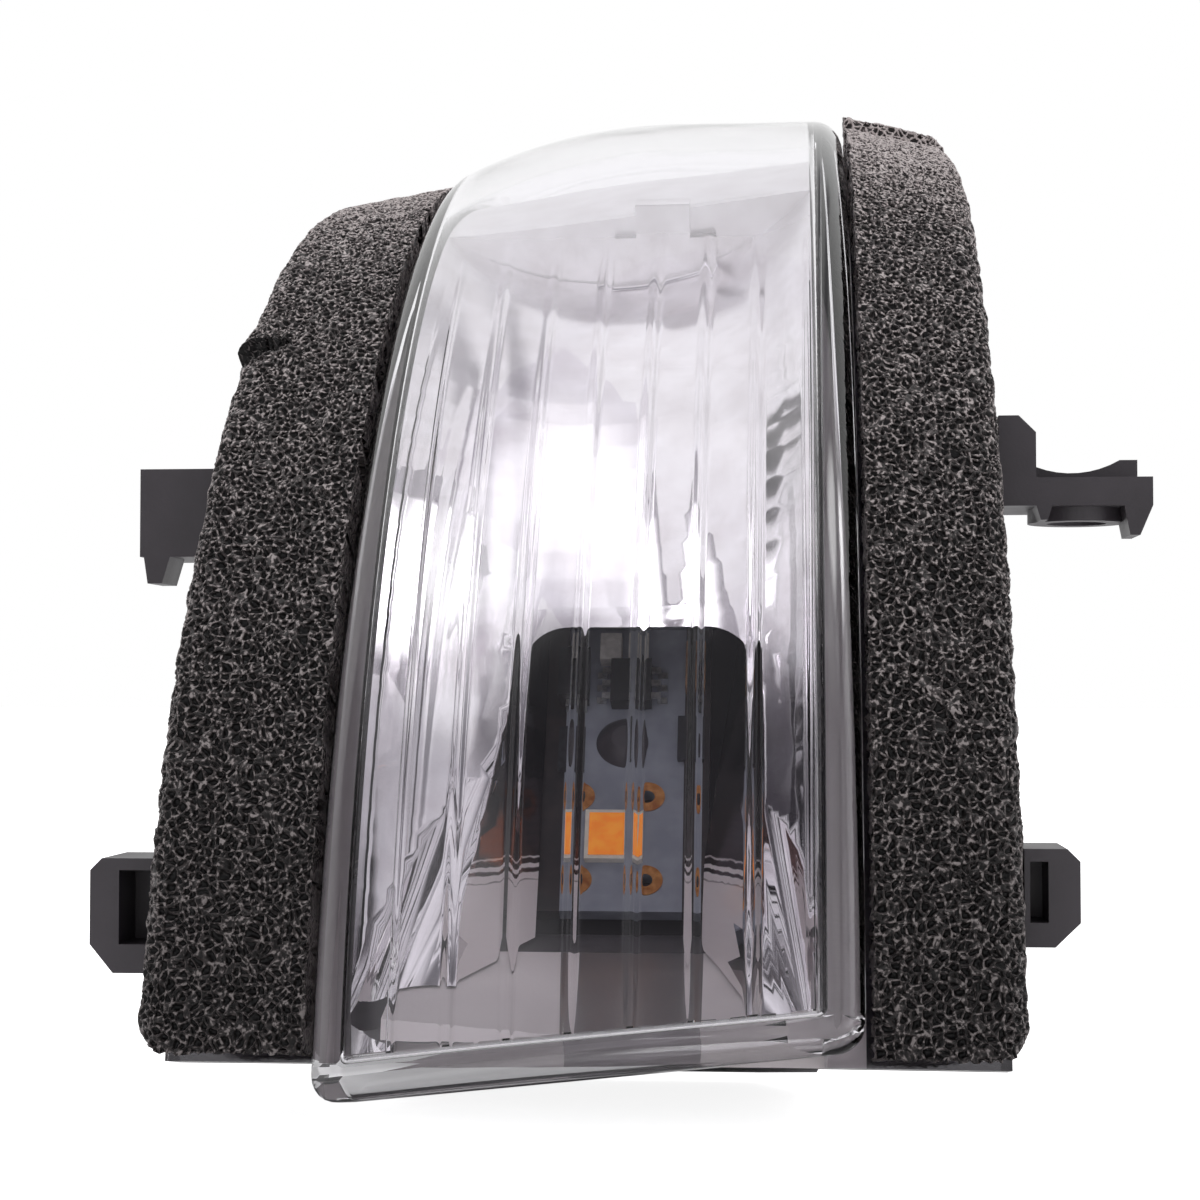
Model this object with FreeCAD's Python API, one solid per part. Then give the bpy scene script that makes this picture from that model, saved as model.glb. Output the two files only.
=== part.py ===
# Door-mirror turn signal lamp: fluted clear lens, foam gaskets, reflector, LED board and clip-in housing.
# Millimetres. The lamp is swept about an axis along X, with +Z up and +Y running back from its face.
# Section sizes are given as x across the lamp and r out from the sweep axis; angles rise from the horizontal.
import FreeCAD
import Part
import math
import os

from FreeCAD import Vector

# Sweep radius of the housing's back, and depth from there to the lens crown
TUB_RADIUS = 66.0
LAMP_DEPTH = 25.6

# Lens crown
CROWN_WIDTH = 34.4
CROWN_ROLL_RADIUS = 44.2
CROWN_ROLL_X = 2.4
CROWN_LEFT_CORNER = 3.0
CROWN_RIGHT_CORNER = 2.4
LENS_WALL = 2.4
LENS_EDGE = 1.8
LENS_START = 9.6
LENS_STOP = 86.0
LENS_SLANT = 6.0

# Flutes along the inside of the crown, as many as its width takes
FLUTE_PITCH = 3.7
FLUTE_SAG = 0.12
FLUTE_MIDDLE = 1.2

# Flanges and gaskets
FLANGE_THICKNESS = 2.0
FLANGE_START = 10.2
FLANGE_STOP = 87.5
FLANGE_FALL_LEFT = 9.4
FLANGE_FALL_RIGHT = 13.0
FOAM_WIDTH_LEFT = 11.4
FOAM_WIDTH_RIGHT = 9.4
FOAM_OVERHANG = 0.6
FOAM_THICKNESS = 6.0
FOAM_GAP = 0.4
FOAM_SINK_LEFT = 0.6
FOAM_SINK_RIGHT = 0.6
FOAM_EDGE = 1.6
FOAM_START = 10.4
FOAM_STOP = 84.5
NOTCH_ANGLE = 49.6
NOTCH_REACH = 3.6
NOTCH_OPENING = 1.9
LIP_RISE = 1.6
LIP_SPAN = 3.0

# Housing tub
TUB_WIDTH = 28.8
TUB_CORNER = 4.0
HOUSING_WALL = 2.0

# Fixing arm, placed by the middle of its hole on the upper face, behind the edge of the flange
HOLE_REACH = 6.9
HOLE_ANGLE = 42.34
HOLE_SETBACK = 1.74
HOLE_DIAMETER = 4.2
ARM_THICKNESS = 2.0
ARM_DEPTH = 9.0
ARM_TIP = 4.8
BOSS_DIAMETER = 7.0
BOSS_HEIGHT = 1.0
WEB_WIDTH = 3.6
WEB_RISE = 4.4
RIM_RISE = 1.9
RIM_THICKNESS = 1.5
BARB_DROP = 2.1
BARB_TAPER = 0.4
BARB_FLAT = 0.7
NIB_DROP = 1.0
NIB_TAPER = 0.3
NIB_FLAT = 0.5

# Hook tab on the left
TAB_REACH = 7.6
TAB_HEIGHT = 6.6
TAB_ANGLE = 40.03
TAB_SETBACK = 1.47
TAB_DEPTH = 8.5
TAB_WALL = 2.0
HOOK_DROP = 2.0
HOOK_WIDTH = 1.7
HOOK_TAPER = 0.6

# Snap clips low on each side
CLIP_LEFT_REACH = 6.0
CLIP_LEFT_HEIGHT = 7.7
CLIP_LEFT_ANGLE = 14.52
CLIP_LEFT_SETBACK = -0.4
CLIP_RIGHT_REACH = 4.5
CLIP_RIGHT_HEIGHT = 6.2
CLIP_RIGHT_ANGLE = 15.54
CLIP_RIGHT_SETBACK = -1.64
CLIP_DEPTH = 6.0
CLIP_POCKET = 4.0
CLIP_WALL = 1.6

# Reflector
REFLECTOR_WALL = 1.6
REFLECTOR_GAP = 0.4
RIM_DROP = 3.4
TROUGH_SAG = 5.0
TROUGH_STOP = 60.5
SHELF_STOP = 84.0
KEY_X = 2.6
KEY_WIDE = 8.1
KEY_NARROW = 4.3
KEY_LOW = 3.6
KEY_HIGH = 6.0
KEY_DEPTH = 1.2

# LED niche: openings across and along the board, behind and in front
NICHE_BACK_LEFT = -4.2
NICHE_BACK_RIGHT = 6.3
NICHE_BACK_TOP_RIGHT = 9.0
NICHE_BACK_LOW = -7.0
NICHE_BACK_HIGH = 15.4
NICHE_FRONT_LEFT = -16.1
NICHE_FRONT_RIGHT = 13.4
NICHE_FRONT_TOP_LEFT = -4.4
NICHE_FRONT_TOP_RIGHT = 10.6
NICHE_FRONT_LOW = -19.3
NICHE_FRONT_HIGH = 9.6
NICHE_BACK_ROUND = 1.0
NICHE_FRONT_ROUND = 4.5
NICHE_LIFT = 0.5
NICHE_DEPTH = 12.5
CHIN_THICKNESS = 1.6

# Scoops beside the niche: place round the trough, place along it and lean of each
SCOOP_RADIUS = 4.0
SCOOP_DEPTH = 0.6
SCOOP_LEFT_TURN = -16.5
SCOOP_LEFT_ANGLE = 19.0
SCOOP_LEFT_LEAN = 15.0
SCOOP_RIGHT_TURN = 36.0
SCOOP_RIGHT_ANGLE = 17.4
SCOOP_RIGHT_LEAN = -9.5

# Circuit board, leaning back, placed by the middle of its LED under the crown
LED_X = 0.7
LED_ANGLE = 21.94
LED_INSET = 16.67
BOARD_LEAN = 25.0
BOARD_WIDTH = 12.0
BOARD_MIDDLE = 0.6
BOARD_BELOW = 5.2
BOARD_ABOVE = 25.5
BOARD_THICKNESS = 1.6

# Parts on the board, placed across and up from the LED
LED_SIDE = 3.5
LED_HEIGHT = 0.8
PHOSPHOR_SIDE = 3.0
PHOSPHOR_HEIGHT = 0.1
EYELET_OUTER = 2.1
EYELET_INNER = 0.9
EYELET_HEIGHT = 0.08
EYELET_ACROSS = 4.7
EYELET_UP = 6.0
STAKE_PIN = 2.4
STAKE_CLEAR = 0.2
STAKE_BOSS = 5.0
STAKE_HEAD = 3.7
STAKE_HEAD_HEIGHT = 1.2
STAKE_UP = (7.0, 22.5)
STAKE_ACROSS = 0.5
CHIP_SIZE = (3.0, 3.2, 1.5)
CHIP_SPOT = (1.0, 11.1)
CHIP_LIFT = 0.1
CHIP_LEG_WIDTH = 0.42
CHIP_LEG_PITCH = 0.95
CHIP_LEG_REACH = 0.9
CHIP_LEG_THICKNESS = 0.2
SURGE_SIZE = (2.3, 3.6, 2.0)
SURGE_SPOT = (-3.0, 11.6)
SURGE_TAB = (1.5, 0.5, 1.1)
GLASS_DIAMETER = 1.5
GLASS_LENGTH = 3.4
GLASS_SPOT = (5.3, 12.4)
RESISTOR_SIZE = (1.6, 3.2, 0.6)
RESISTOR_SPOTS = ((4.9, 7.2), (-3.3, 6.4))
CAPACITOR_SIZE = (1.25, 2.0, 1.2)
CAPACITOR_SPOTS = ((1.5, 13.85), (-0.6, 13.85))

# Plug socket and its blades
SOCKET_WIDTH = 10.4
SOCKET_HEIGHT = 6.4
SOCKET_WALL = 1.5
SOCKET_REACH = 21.97
SOCKET_DEPTH = 10.5
LATCH_WIDTH = 4.0
LATCH_LENGTH = 4.0
LATCH_FLAT = 1.0
LATCH_RISE = 1.2
LATCH_SETBACK = 1.0
BLADE_WIDTH = 1.5
BLADE_THICKNESS = 0.64
BLADE_PITCH = 6.0
BLADE_UP = 18.6
BLADE_PROUD = 0.7
BLADE_STUB = 3.0
BLADE_SHORT = 5.2
BLADE_CLEAR = 0.05

ORIGIN = Vector(0, 0, 0)
ALONG_X = Vector(1, 0, 0)
ALONG_Y = Vector(0, 1, 0)
ALONG_Z = Vector(0, 0, 1)
CROWN_RADIUS = TUB_RADIUS + LAMP_DEPTH
CROWN_HALF = CROWN_WIDTH / 2
CAVITY_HALF = CROWN_HALF - LENS_WALL
FLUTE_COUNT = int(2 * (CAVITY_HALF - abs(FLUTE_MIDDLE)) / FLUTE_PITCH)
FOAM_SIDE = {-1: -CROWN_HALF - FOAM_GAP - FOAM_WIDTH_LEFT, 1: CROWN_HALF + FOAM_GAP + FOAM_WIDTH_RIGHT}
FLANGE_SIDE = {side: FOAM_SIDE[side] - side * FOAM_OVERHANG for side in FOAM_SIDE}
TUB_HALF = TUB_WIDTH / 2
TUB_INNER = TUB_HALF - HOUSING_WALL
REFLECTOR_HALF = CAVITY_HALF - REFLECTOR_GAP
REFLECTOR_FEET = REFLECTOR_HALF - REFLECTOR_WALL
NEAR_AXIS = TUB_RADIUS / 20
OUT_OF_REACH = 2 * CROWN_RADIUS
LEAN = math.radians(BOARD_LEAN)


def crown_at(x, inset):
    """Radius of the crown face at x, set inwards by the inset"""
    fall = max(CROWN_ROLL_X - x, 0)
    roll = CROWN_ROLL_RADIUS - inset
    return CROWN_RADIUS - CROWN_ROLL_RADIUS + math.sqrt(roll ** 2 - fall ** 2)


def seat_at(x):
    """Radius of the face where lens and housing meet"""
    if x < 0:
        edge = crown_at(-CROWN_HALF, 0) - FOAM_SINK_LEFT
        fall = (-x - CROWN_HALF) * math.tan(math.radians(FLANGE_FALL_LEFT))
    else:
        edge = CROWN_RADIUS - FOAM_SINK_RIGHT
        fall = (x - CROWN_HALF) * math.tan(math.radians(FLANGE_FALL_RIGHT))
    return edge - FOAM_THICKNESS - FLANGE_THICKNESS - fall


def place(angle, radius):
    """y and z at an angle and a radius about the sweep axis"""
    turn = math.radians(angle)
    return -radius * math.cos(turn), radius * math.sin(turn)


def beside(side, angle, setback):
    """y and z of a place behind the edge of a flange"""
    return place(angle, seat_at(FLANGE_SIDE[side]) - setback)


HOLE_X = FLANGE_SIDE[1] + HOLE_REACH
HOLE_Y, HOLE_Z = beside(1, HOLE_ANGLE, HOLE_SETBACK)
LED_Y, LED_Z = place(LED_ANGLE, CROWN_RADIUS - LED_INSET)


def spot(x, r):
    """Point of the section, drawn where the sweep angle is zero"""
    return Vector(x, -r, 0)


def profile(steps):
    """Closed face: a step of one point is a line to it, a step of two an arc through the first to the second"""
    edges = []
    here = spot(*steps[-1][-1])
    for step in steps:
        there = spot(*step[-1])
        if len(step) == 2:
            edges.append(Part.Arc(here, spot(*step[0]), there).toShape())
        else:
            edges.append(Part.makeLine(here, there))
        here = there
    return Part.Face(Part.Wire(edges))


def outline(points):
    """Closed face with straight sides"""
    return profile([[point] for point in points])


def sweep(face, start, stop):
    """Solid swept by a section face between two angles"""
    turned = face.copy()
    turned.rotate(ORIGIN, ALONG_X, -start)
    return turned.revolve(ORIGIN, -ALONG_X, stop - start)


def prism_y(points, front, back):
    """Solid with an outline in x and z, running from front to back"""
    corners = [Vector(x, front, z) for x, z in points]
    return Part.Face(Part.makePolygon(corners + corners[:1])).extrude(Vector(0, back - front, 0))


def prism_x(points, left, right):
    """Solid with an outline in y and z, running from left to right"""
    corners = [Vector(left, y, z) for y, z in points]
    return Part.Face(Part.makePolygon(corners + corners[:1])).extrude(Vector(right - left, 0, 0))


def box(low, high):
    """Block between two opposite corners"""
    return Part.makeBox(high[0] - low[0], high[1] - low[1], high[2] - low[2], Vector(*low))


def below_slant(offset):
    """Block filling everything under the slanted bottom plane of the lens, raised by the offset"""
    rise = math.radians(LENS_START)
    slant = math.radians(LENS_SLANT)
    flat = math.cos(slant)
    normal = Vector(-math.sin(slant), math.sin(rise) * flat, math.cos(rise) * flat)
    reach = 2 * OUT_OF_REACH
    block = Part.makeBox(reach, reach, reach, Vector(-reach / 2, -reach / 2, -reach))
    block.Placement = FreeCAD.Placement(normal * offset, FreeCAD.Rotation(ALONG_Z, normal))
    return block, normal


def on_board(shape):
    """Moves a shape from board places (across, up, out from the LED) to the lamp"""
    moved = shape.copy()
    moved.rotate(ORIGIN, ALONG_X, 90 - BOARD_LEAN)
    moved.translate(Vector(LED_X, LED_Y, LED_Z))
    return moved


def board_point(up, out):
    """y and z in the lamp of a place up the board and out from its face"""
    y = LED_Y + up * math.sin(LEAN) - out * math.cos(LEAN)
    z = LED_Z + up * math.cos(LEAN) + out * math.sin(LEAN)
    return y, z


def board_block(middle, size, lift=0.0):
    """Block standing on the board face"""
    corner = Vector(middle[0] - size[0] / 2, middle[1] - size[1] / 2, lift)
    return Part.makeBox(size[0], size[1], size[2], corner)


def wall_angle(wall, radius):
    """Sweep angle taken up by a wall"""
    return math.degrees(wall / radius)


def crown():
    """Filled crown with its left roll-off, slanted bottom and rounded ends"""
    roll_r = CROWN_RADIUS - CROWN_ROLL_RADIUS
    corner = CROWN_LEFT_CORNER
    left_x = -CROWN_HALF + corner
    left_r = roll_r + math.sqrt((CROWN_ROLL_RADIUS - corner) ** 2 - (left_x - CROWN_ROLL_X) ** 2)
    away = Vector(left_x - CROWN_ROLL_X, left_r - roll_r, 0).normalize()
    between = (away + Vector(-1, 0, 0)).normalize()
    roll_x = left_x + corner * away.x
    roll_mid = (roll_x + CROWN_ROLL_X) / 2
    right_x = CROWN_HALF - CROWN_RIGHT_CORNER
    right_r = CROWN_RADIUS - CROWN_RIGHT_CORNER
    turn = CROWN_RIGHT_CORNER * math.sqrt(0.5)
    face = profile([
        [(-CROWN_HALF, seat_at(-CROWN_HALF))],
        [(-CROWN_HALF, left_r)],
        [(left_x + corner * between.x, left_r + corner * between.y), (roll_x, left_r + corner * away.y)],
        [(roll_mid, crown_at(roll_mid, 0)), (CROWN_ROLL_X, CROWN_RADIUS)],
        [(right_x, CROWN_RADIUS)],
        [(right_x + turn, right_r + turn), (CROWN_HALF, right_r)],
        [(CROWN_HALF, seat_at(CROWN_HALF))],
        [(TUB_INNER, seat_at(TUB_INNER))],
        [(-TUB_INNER, seat_at(-TUB_INNER))],
    ])
    block, normal = below_slant(0)
    solid = sweep(face, LENS_START - LENS_SLANT, LENS_STOP).cut(block)
    stop = math.radians(LENS_STOP)
    ends = (normal, Vector(0, math.sin(stop), math.cos(stop)))
    rounded = []
    for edge in solid.Edges:
        middle = edge.valueAt((edge.FirstParameter + edge.LastParameter) / 2)
        flush = [abs(middle.dot(end)) < 0.01 for end in ends]
        high = math.hypot(middle.y, middle.z) > max(seat_at(middle.x), seat_at(-CROWN_HALF)) + LENS_EDGE / 4
        if any(flush) and high:
            rounded.append(edge)
    return solid.makeFillet(LENS_EDGE, rounded)


def fluted_cavity():
    """Space inside the lens, scalloped by the flutes along the crown"""
    def inner(x, sag=0.0):
        lean = max(CROWN_ROLL_X - x, 0) / (CROWN_ROLL_RADIUS - LENS_WALL)
        return x + sag * lean, crown_at(x, LENS_WALL) - sag * math.sqrt(1 - lean ** 2)

    first = FLUTE_MIDDLE - FLUTE_COUNT * FLUTE_PITCH / 2
    steps = [[(-CAVITY_HALF, seat_at(-CAVITY_HALF) - LENS_WALL)], [inner(-CAVITY_HALF)], [inner(first)]]
    for flute in range(FLUTE_COUNT):
        start = first + flute * FLUTE_PITCH
        steps.append([inner(start + FLUTE_PITCH / 2, FLUTE_SAG), inner(start + FLUTE_PITCH)])
    steps.append([inner(CAVITY_HALF)])
    steps.append([(CAVITY_HALF, seat_at(CAVITY_HALF) - LENS_WALL)])
    space = sweep(profile(steps), LENS_START - LENS_SLANT, LENS_STOP - wall_angle(LENS_WALL, CROWN_RADIUS))
    return space.cut(below_slant(LENS_WALL)[0])


def flange(side, low, high, start, stop):
    """Side plate lying along the seat, between two heights over it"""
    outer = FLANGE_SIDE[side]
    inner = side * (CROWN_HALF - LENS_WALL / 2)
    points = [
        (outer, seat_at(outer) + low),
        (inner, seat_at(inner) + low),
        (inner, seat_at(inner) + high),
        (outer, seat_at(outer) + high),
    ]
    return sweep(outline(points), start, stop)


def outer_lens():
    """Clear lens: crown and both flanges, hollowed by the fluted cavity"""
    flanges = [flange(side, 0, FLANGE_THICKNESS, FLANGE_START, FLANGE_STOP) for side in (-1, 1)]
    return crown().fuse(flanges).cut(fluted_cavity()).removeSplitter()


def foam_section(side, extra):
    """Gasket section standing on the flange, with its outer front edge eased"""
    inner = side * (CROWN_HALF + FOAM_GAP)
    outer = FOAM_SIDE[side]
    rise = FLANGE_THICKNESS + FOAM_THICKNESS + extra
    eased = outer - side * FOAM_EDGE
    return outline([
        (inner, seat_at(inner) + FLANGE_THICKNESS),
        (outer, seat_at(outer) + FLANGE_THICKNESS),
        (outer, seat_at(outer) + rise - FOAM_EDGE),
        (eased, seat_at(eased) + rise),
        (inner, seat_at(inner) + rise),
    ])


def ease_bottom(foam, side):
    """Bevels the outer bottom corner of a gasket"""
    outer = FOAM_SIDE[side]
    low = math.radians(FOAM_START)
    end = Vector(0, math.sin(low), math.cos(low))
    corner = []
    for edge in foam.Edges:
        middle = edge.CenterOfMass
        if abs(middle.dot(end)) < 0.05 and abs(middle.x - outer) < 0.05:
            corner.append(edge)
    return foam.makeChamfer(FOAM_EDGE, corner)


def left_foam():
    """Left gasket with the notch torn into its outer edge"""
    foam = ease_bottom(sweep(foam_section(-1, 0), FOAM_START, FOAM_STOP), -1)
    edge = FOAM_SIDE[-1]
    open_half = NOTCH_OPENING / 2
    points = [
        (edge - FOAM_EDGE, -open_half),
        (edge, -open_half),
        (edge + NOTCH_REACH * 0.55, -open_half * 0.35),
        (edge + NOTCH_REACH, 0),
        (edge + NOTCH_REACH * 0.6, open_half * 0.6),
        (edge, open_half),
        (edge - FOAM_EDGE, open_half),
    ]
    notch = prism_y(points, -OUT_OF_REACH, 0)
    notch.rotate(ORIGIN, ALONG_X, -NOTCH_ANGLE)
    return foam.cut(notch)


def right_foam():
    """Right gasket with the raised lip at its top end"""
    foam = ease_bottom(sweep(foam_section(1, 0), FOAM_START, FOAM_STOP), 1)
    lip = sweep(foam_section(1, LIP_RISE), FOAM_STOP - LIP_SPAN, FOAM_STOP)
    return foam.fuse(lip).removeSplitter()


def tub_filled():
    """Outside of the housing before it is hollowed: seat flanges and the bevelled tub behind them"""
    left_x = FLANGE_SIDE[-1]
    right_x = FLANGE_SIDE[1]
    right = [
        [(TUB_INNER, seat_at(TUB_INNER))],
        [(right_x, seat_at(right_x))],
        [(right_x, seat_at(right_x) - HOUSING_WALL)],
        [(TUB_HALF, seat_at(TUB_HALF) - HOUSING_WALL)],
        [(TUB_HALF, TUB_RADIUS + TUB_CORNER)],
        [(TUB_HALF - TUB_CORNER, TUB_RADIUS)],
    ]
    left = [
        [(-TUB_HALF + TUB_CORNER, TUB_RADIUS)],
        [(-TUB_HALF, TUB_RADIUS + TUB_CORNER)],
        [(-TUB_HALF, seat_at(-TUB_HALF) - HOUSING_WALL)],
        [(left_x, seat_at(left_x) - HOUSING_WALL)],
        [(left_x, seat_at(left_x))],
        [(-TUB_INNER, seat_at(-TUB_INNER))],
    ]
    return sweep(profile(right + left), FLANGE_START, FLANGE_STOP)


def tub_hollow():
    """Inside of the tub"""
    back = TUB_RADIUS + HOUSING_WALL
    wall = wall_angle(HOUSING_WALL, back)
    points = [
        (-TUB_INNER, back),
        (TUB_INNER, back),
        (TUB_INNER, OUT_OF_REACH),
        (-TUB_INNER, OUT_OF_REACH),
    ]
    return sweep(outline(points), FLANGE_START + wall, FLANGE_STOP - wall)


def lens_side():
    """Everything on the lens side of the seat, which the housing's tabs keep clear of"""
    left = FOAM_SIDE[-1] - FOAM_GAP
    right = FOAM_SIDE[1] + FOAM_GAP
    points = [
        (left, seat_at(left)),
        (-TUB_INNER, seat_at(-TUB_INNER)),
        (TUB_INNER, seat_at(TUB_INNER)),
        (right, seat_at(right)),
        (right, OUT_OF_REACH),
        (left, OUT_OF_REACH),
    ]
    return sweep(outline(points), 0, FLANGE_STOP + LENS_SLANT)


def fixing_arm():
    """Right arm: drilled plate with a boss below, a root web, a scalloped rear rim and a barb at the tip"""
    root = FLANGE_SIDE[1] - HOUSING_WALL
    tip = HOLE_X + ARM_TIP
    front = HOLE_Y - ARM_DEPTH / 2
    back = HOLE_Y + ARM_DEPTH / 2
    under = HOLE_Z - ARM_THICKNESS
    plate = box((root, front, under), (tip, back, HOLE_Z))
    web_x = FLANGE_SIDE[1] + WEB_WIDTH
    ease = WEB_WIDTH / 3
    web = prism_y(
        [
            (root, under),
            (web_x, under),
            (web_x, HOLE_Z + WEB_RISE - ease),
            (web_x - ease, HOLE_Z + WEB_RISE),
            (root, HOLE_Z + WEB_RISE),
        ],
        front,
        back,
    )
    rim = box((root, back - RIM_THICKNESS, HOLE_Z), (tip, back, HOLE_Z + RIM_RISE))
    scallop = Part.makeCylinder(BOSS_DIAMETER, ARM_DEPTH, Vector(HOLE_X, HOLE_Y, HOLE_Z), ALONG_Y)
    scallop.translate(Vector(0, 0, BOSS_DIAMETER + RIM_RISE / 2))
    boss = Part.makeCylinder(BOSS_DIAMETER / 2, BOSS_HEIGHT, Vector(HOLE_X, HOLE_Y, under - BOSS_HEIGHT))
    barb_x = tip - ARM_TIP / 2.4
    barb = prism_y(
        [
            (barb_x, under),
            (barb_x + BARB_TAPER, under - BARB_DROP),
            (barb_x + BARB_TAPER + BARB_FLAT, under - BARB_DROP),
            (tip, under),
            (tip, HOLE_Z),
            (barb_x, HOLE_Z),
        ],
        front,
        HOLE_Y,
    )
    nib_x = web_x + NIB_FLAT + 2 * NIB_TAPER
    nib = prism_y(
        [
            (web_x, HOLE_Z),
            (web_x, under),
            (web_x + NIB_TAPER, under - NIB_DROP),
            (nib_x - NIB_TAPER, under - NIB_DROP),
            (nib_x, under),
            (nib_x, HOLE_Z),
        ],
        front,
        HOLE_Y,
    )
    drill = Part.makeCylinder(HOLE_DIAMETER / 2, OUT_OF_REACH, Vector(HOLE_X, HOLE_Y, 0))
    return plate.fuse([web, rim.cut(scallop), boss, barb, nib]).cut(drill)


def hook_tab():
    """Left tab: upright face, floor behind it and a hook at the outer end"""
    root = FLANGE_SIDE[-1] + HOUSING_WALL
    tip = FLANGE_SIDE[-1] - TAB_REACH
    front, low = beside(-1, TAB_ANGLE, TAB_SETBACK)
    face = box((tip, front, low), (root, front + TAB_WALL, low + TAB_HEIGHT))
    floor = box((tip, front, low), (root, front + TAB_DEPTH, low + TAB_WALL))
    inner = tip + HOOK_WIDTH + HOOK_TAPER
    hook = prism_y(
        [
            (tip, low + TAB_WALL),
            (tip + HOOK_TAPER / 2, low),
            (tip + HOOK_TAPER, low - HOOK_DROP),
            (inner - HOOK_TAPER, low - HOOK_DROP),
            (inner, low),
            (inner, low + TAB_WALL),
        ],
        front,
        front + TAB_DEPTH / 2,
    )
    return face.fuse([floor, hook])


def snap_clip(side, reach, height, angle, setback):
    """Snap clip: block with eased outer corners and a pocket in its face"""
    front, low = beside(side, angle, setback)
    root = FLANGE_SIDE[side] - side * HOUSING_WALL
    tip = FLANGE_SIDE[side] + side * reach
    ease = side * CLIP_WALL
    block = prism_y(
        [
            (root, low),
            (tip - ease, low),
            (tip, low + height / 4),
            (tip, low + height - CLIP_WALL / 2),
            (tip - ease / 2, low + height),
            (root, low + height),
        ],
        front,
        front + CLIP_DEPTH,
    )
    bar = tip - 1.25 * ease
    inside = FLANGE_SIDE[side] + side * reach * 0.3
    pocket = prism_y(
        [
            (inside, low + height / 4),
            (bar, low + height / 4),
            (bar, low + height - CLIP_WALL / 2),
            (inside, low + height - CLIP_WALL / 2),
        ],
        front - CLIP_WALL,
        front + CLIP_POCKET,
    )
    return block.cut(pocket)


def blade_bend():
    """y and z where a blade turns from the board to the plug"""
    return board_point(BLADE_UP, -BOARD_THICKNESS - BLADE_STUB)


def socket_mouth():
    """y of the socket's open end"""
    return blade_bend()[0] + SOCKET_REACH


def blade_path():
    """y and z of a blade: through the board, square off its back, then straight to the plug"""
    start = board_point(BLADE_UP, BLADE_PROUD)
    bend = blade_bend()
    return [start, bend, (socket_mouth() - BLADE_SHORT, bend[1])]


def bent_strip(path, thickness, left, right):
    """Flat strip following a path with one bend"""
    start, bend, stop = (Vector(0, y, z) for y, z in path)
    first = (bend - start).normalize()
    second = (stop - bend).normalize()
    first_side = ALONG_X.cross(first) * (thickness / 2)
    second_side = ALONG_X.cross(second) * (thickness / 2)
    mitre = (first_side + second_side) * (1 / (1 + first.dot(second)))
    near = [start + first_side, bend + mitre, stop + second_side]
    far = [stop - second_side, bend - mitre, start - first_side]
    return prism_x([(point.y, point.z) for point in near + far], left, right)


def blades(clear):
    """Both blades, grown all round by a clearance"""
    made = []
    for side in (-1, 1):
        middle = LED_X + BOARD_MIDDLE + side * BLADE_PITCH / 2
        half = BLADE_WIDTH / 2 + clear
        made.append(bent_strip(blade_path(), BLADE_THICKNESS + 2 * clear, middle - half, middle + half))
    return made


def socket_box(grow, front, back):
    """Block on the plug axis, grown over the size of the socket's inside"""
    x = LED_X + BOARD_MIDDLE
    z = blade_bend()[1]
    half_x = SOCKET_WIDTH / 2 + grow
    half_z = SOCKET_HEIGHT / 2 + grow
    return box((x - half_x, front, z - half_z), (x + half_x, back, z + half_z))


def socket_latch():
    """Ramp on top of the socket that a plug snaps over"""
    x = LED_X + BOARD_MIDDLE
    top = blade_bend()[1] + SOCKET_HEIGHT / 2 + SOCKET_WALL
    sunk = top - SOCKET_WALL / 2
    front = socket_mouth() - LATCH_SETBACK
    back = front - LATCH_LENGTH
    points = [
        (front, sunk),
        (front, top),
        (back + LATCH_FLAT, top + LATCH_RISE),
        (back, top + LATCH_RISE),
        (back, sunk),
    ]
    return prism_x(points, x - LATCH_WIDTH / 2, x + LATCH_WIDTH / 2)


def chin_line():
    """y and z of the top of the sloping chin, from under the board to its front edge"""
    return board_point(NICHE_BACK_LOW, 0), board_point(NICHE_FRONT_LOW, NICHE_DEPTH)


def chin():
    """Black shelf under the board, falling to the front of the lens, on an upright web"""
    back, front = chin_line()
    points = [
        back,
        front,
        (front[0], front[1] - CHIN_THICKNESS),
        (back[0], back[1] - CHIN_THICKNESS),
        (back[0], 0),
        (back[0] + CHIN_THICKNESS, 0),
        (back[0] + CHIN_THICKNESS, back[1]),
    ]
    shelf = prism_x(points, -TUB_INNER, TUB_INNER)
    start = FLANGE_START + wall_angle(HOUSING_WALL, TUB_RADIUS) / 2
    inset = LENS_WALL + REFLECTOR_GAP
    room = outline([
        (-TUB_HALF, NEAR_AXIS),
        (TUB_HALF, NEAR_AXIS),
        (TUB_HALF, crown_at(TUB_HALF, inset)),
        (-TUB_HALF, crown_at(-TUB_HALF, inset)),
    ])
    return shelf.common(sweep(room, start, LENS_STOP)).cut(below_slant(inset)[0])


def stakes(filled):
    """Bosses that carry the board, with pins through it and heads melted over its face"""
    made = []
    for up in STAKE_UP:
        foot = Part.makeCylinder(STAKE_BOSS / 2, TUB_RADIUS / 4, Vector(STAKE_ACROSS, up, -BOARD_THICKNESS), -ALONG_Z)
        made.append(on_board(foot).common(filled))
        pin = Part.makeCylinder(STAKE_PIN / 2, 2 * BOARD_THICKNESS, Vector(STAKE_ACROSS, up, -1.5 * BOARD_THICKNESS))
        rise = STAKE_HEAD_HEIGHT / 2
        skirt = Part.makeCone(STAKE_HEAD / 2, 0.4 * STAKE_HEAD, rise, Vector(STAKE_ACROSS, up, 0))
        cap = Part.makeCone(0.4 * STAKE_HEAD, 0.2 * STAKE_HEAD, rise, Vector(STAKE_ACROSS, up, rise))
        made += [on_board(pin), on_board(skirt), on_board(cap)]
    return made


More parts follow.
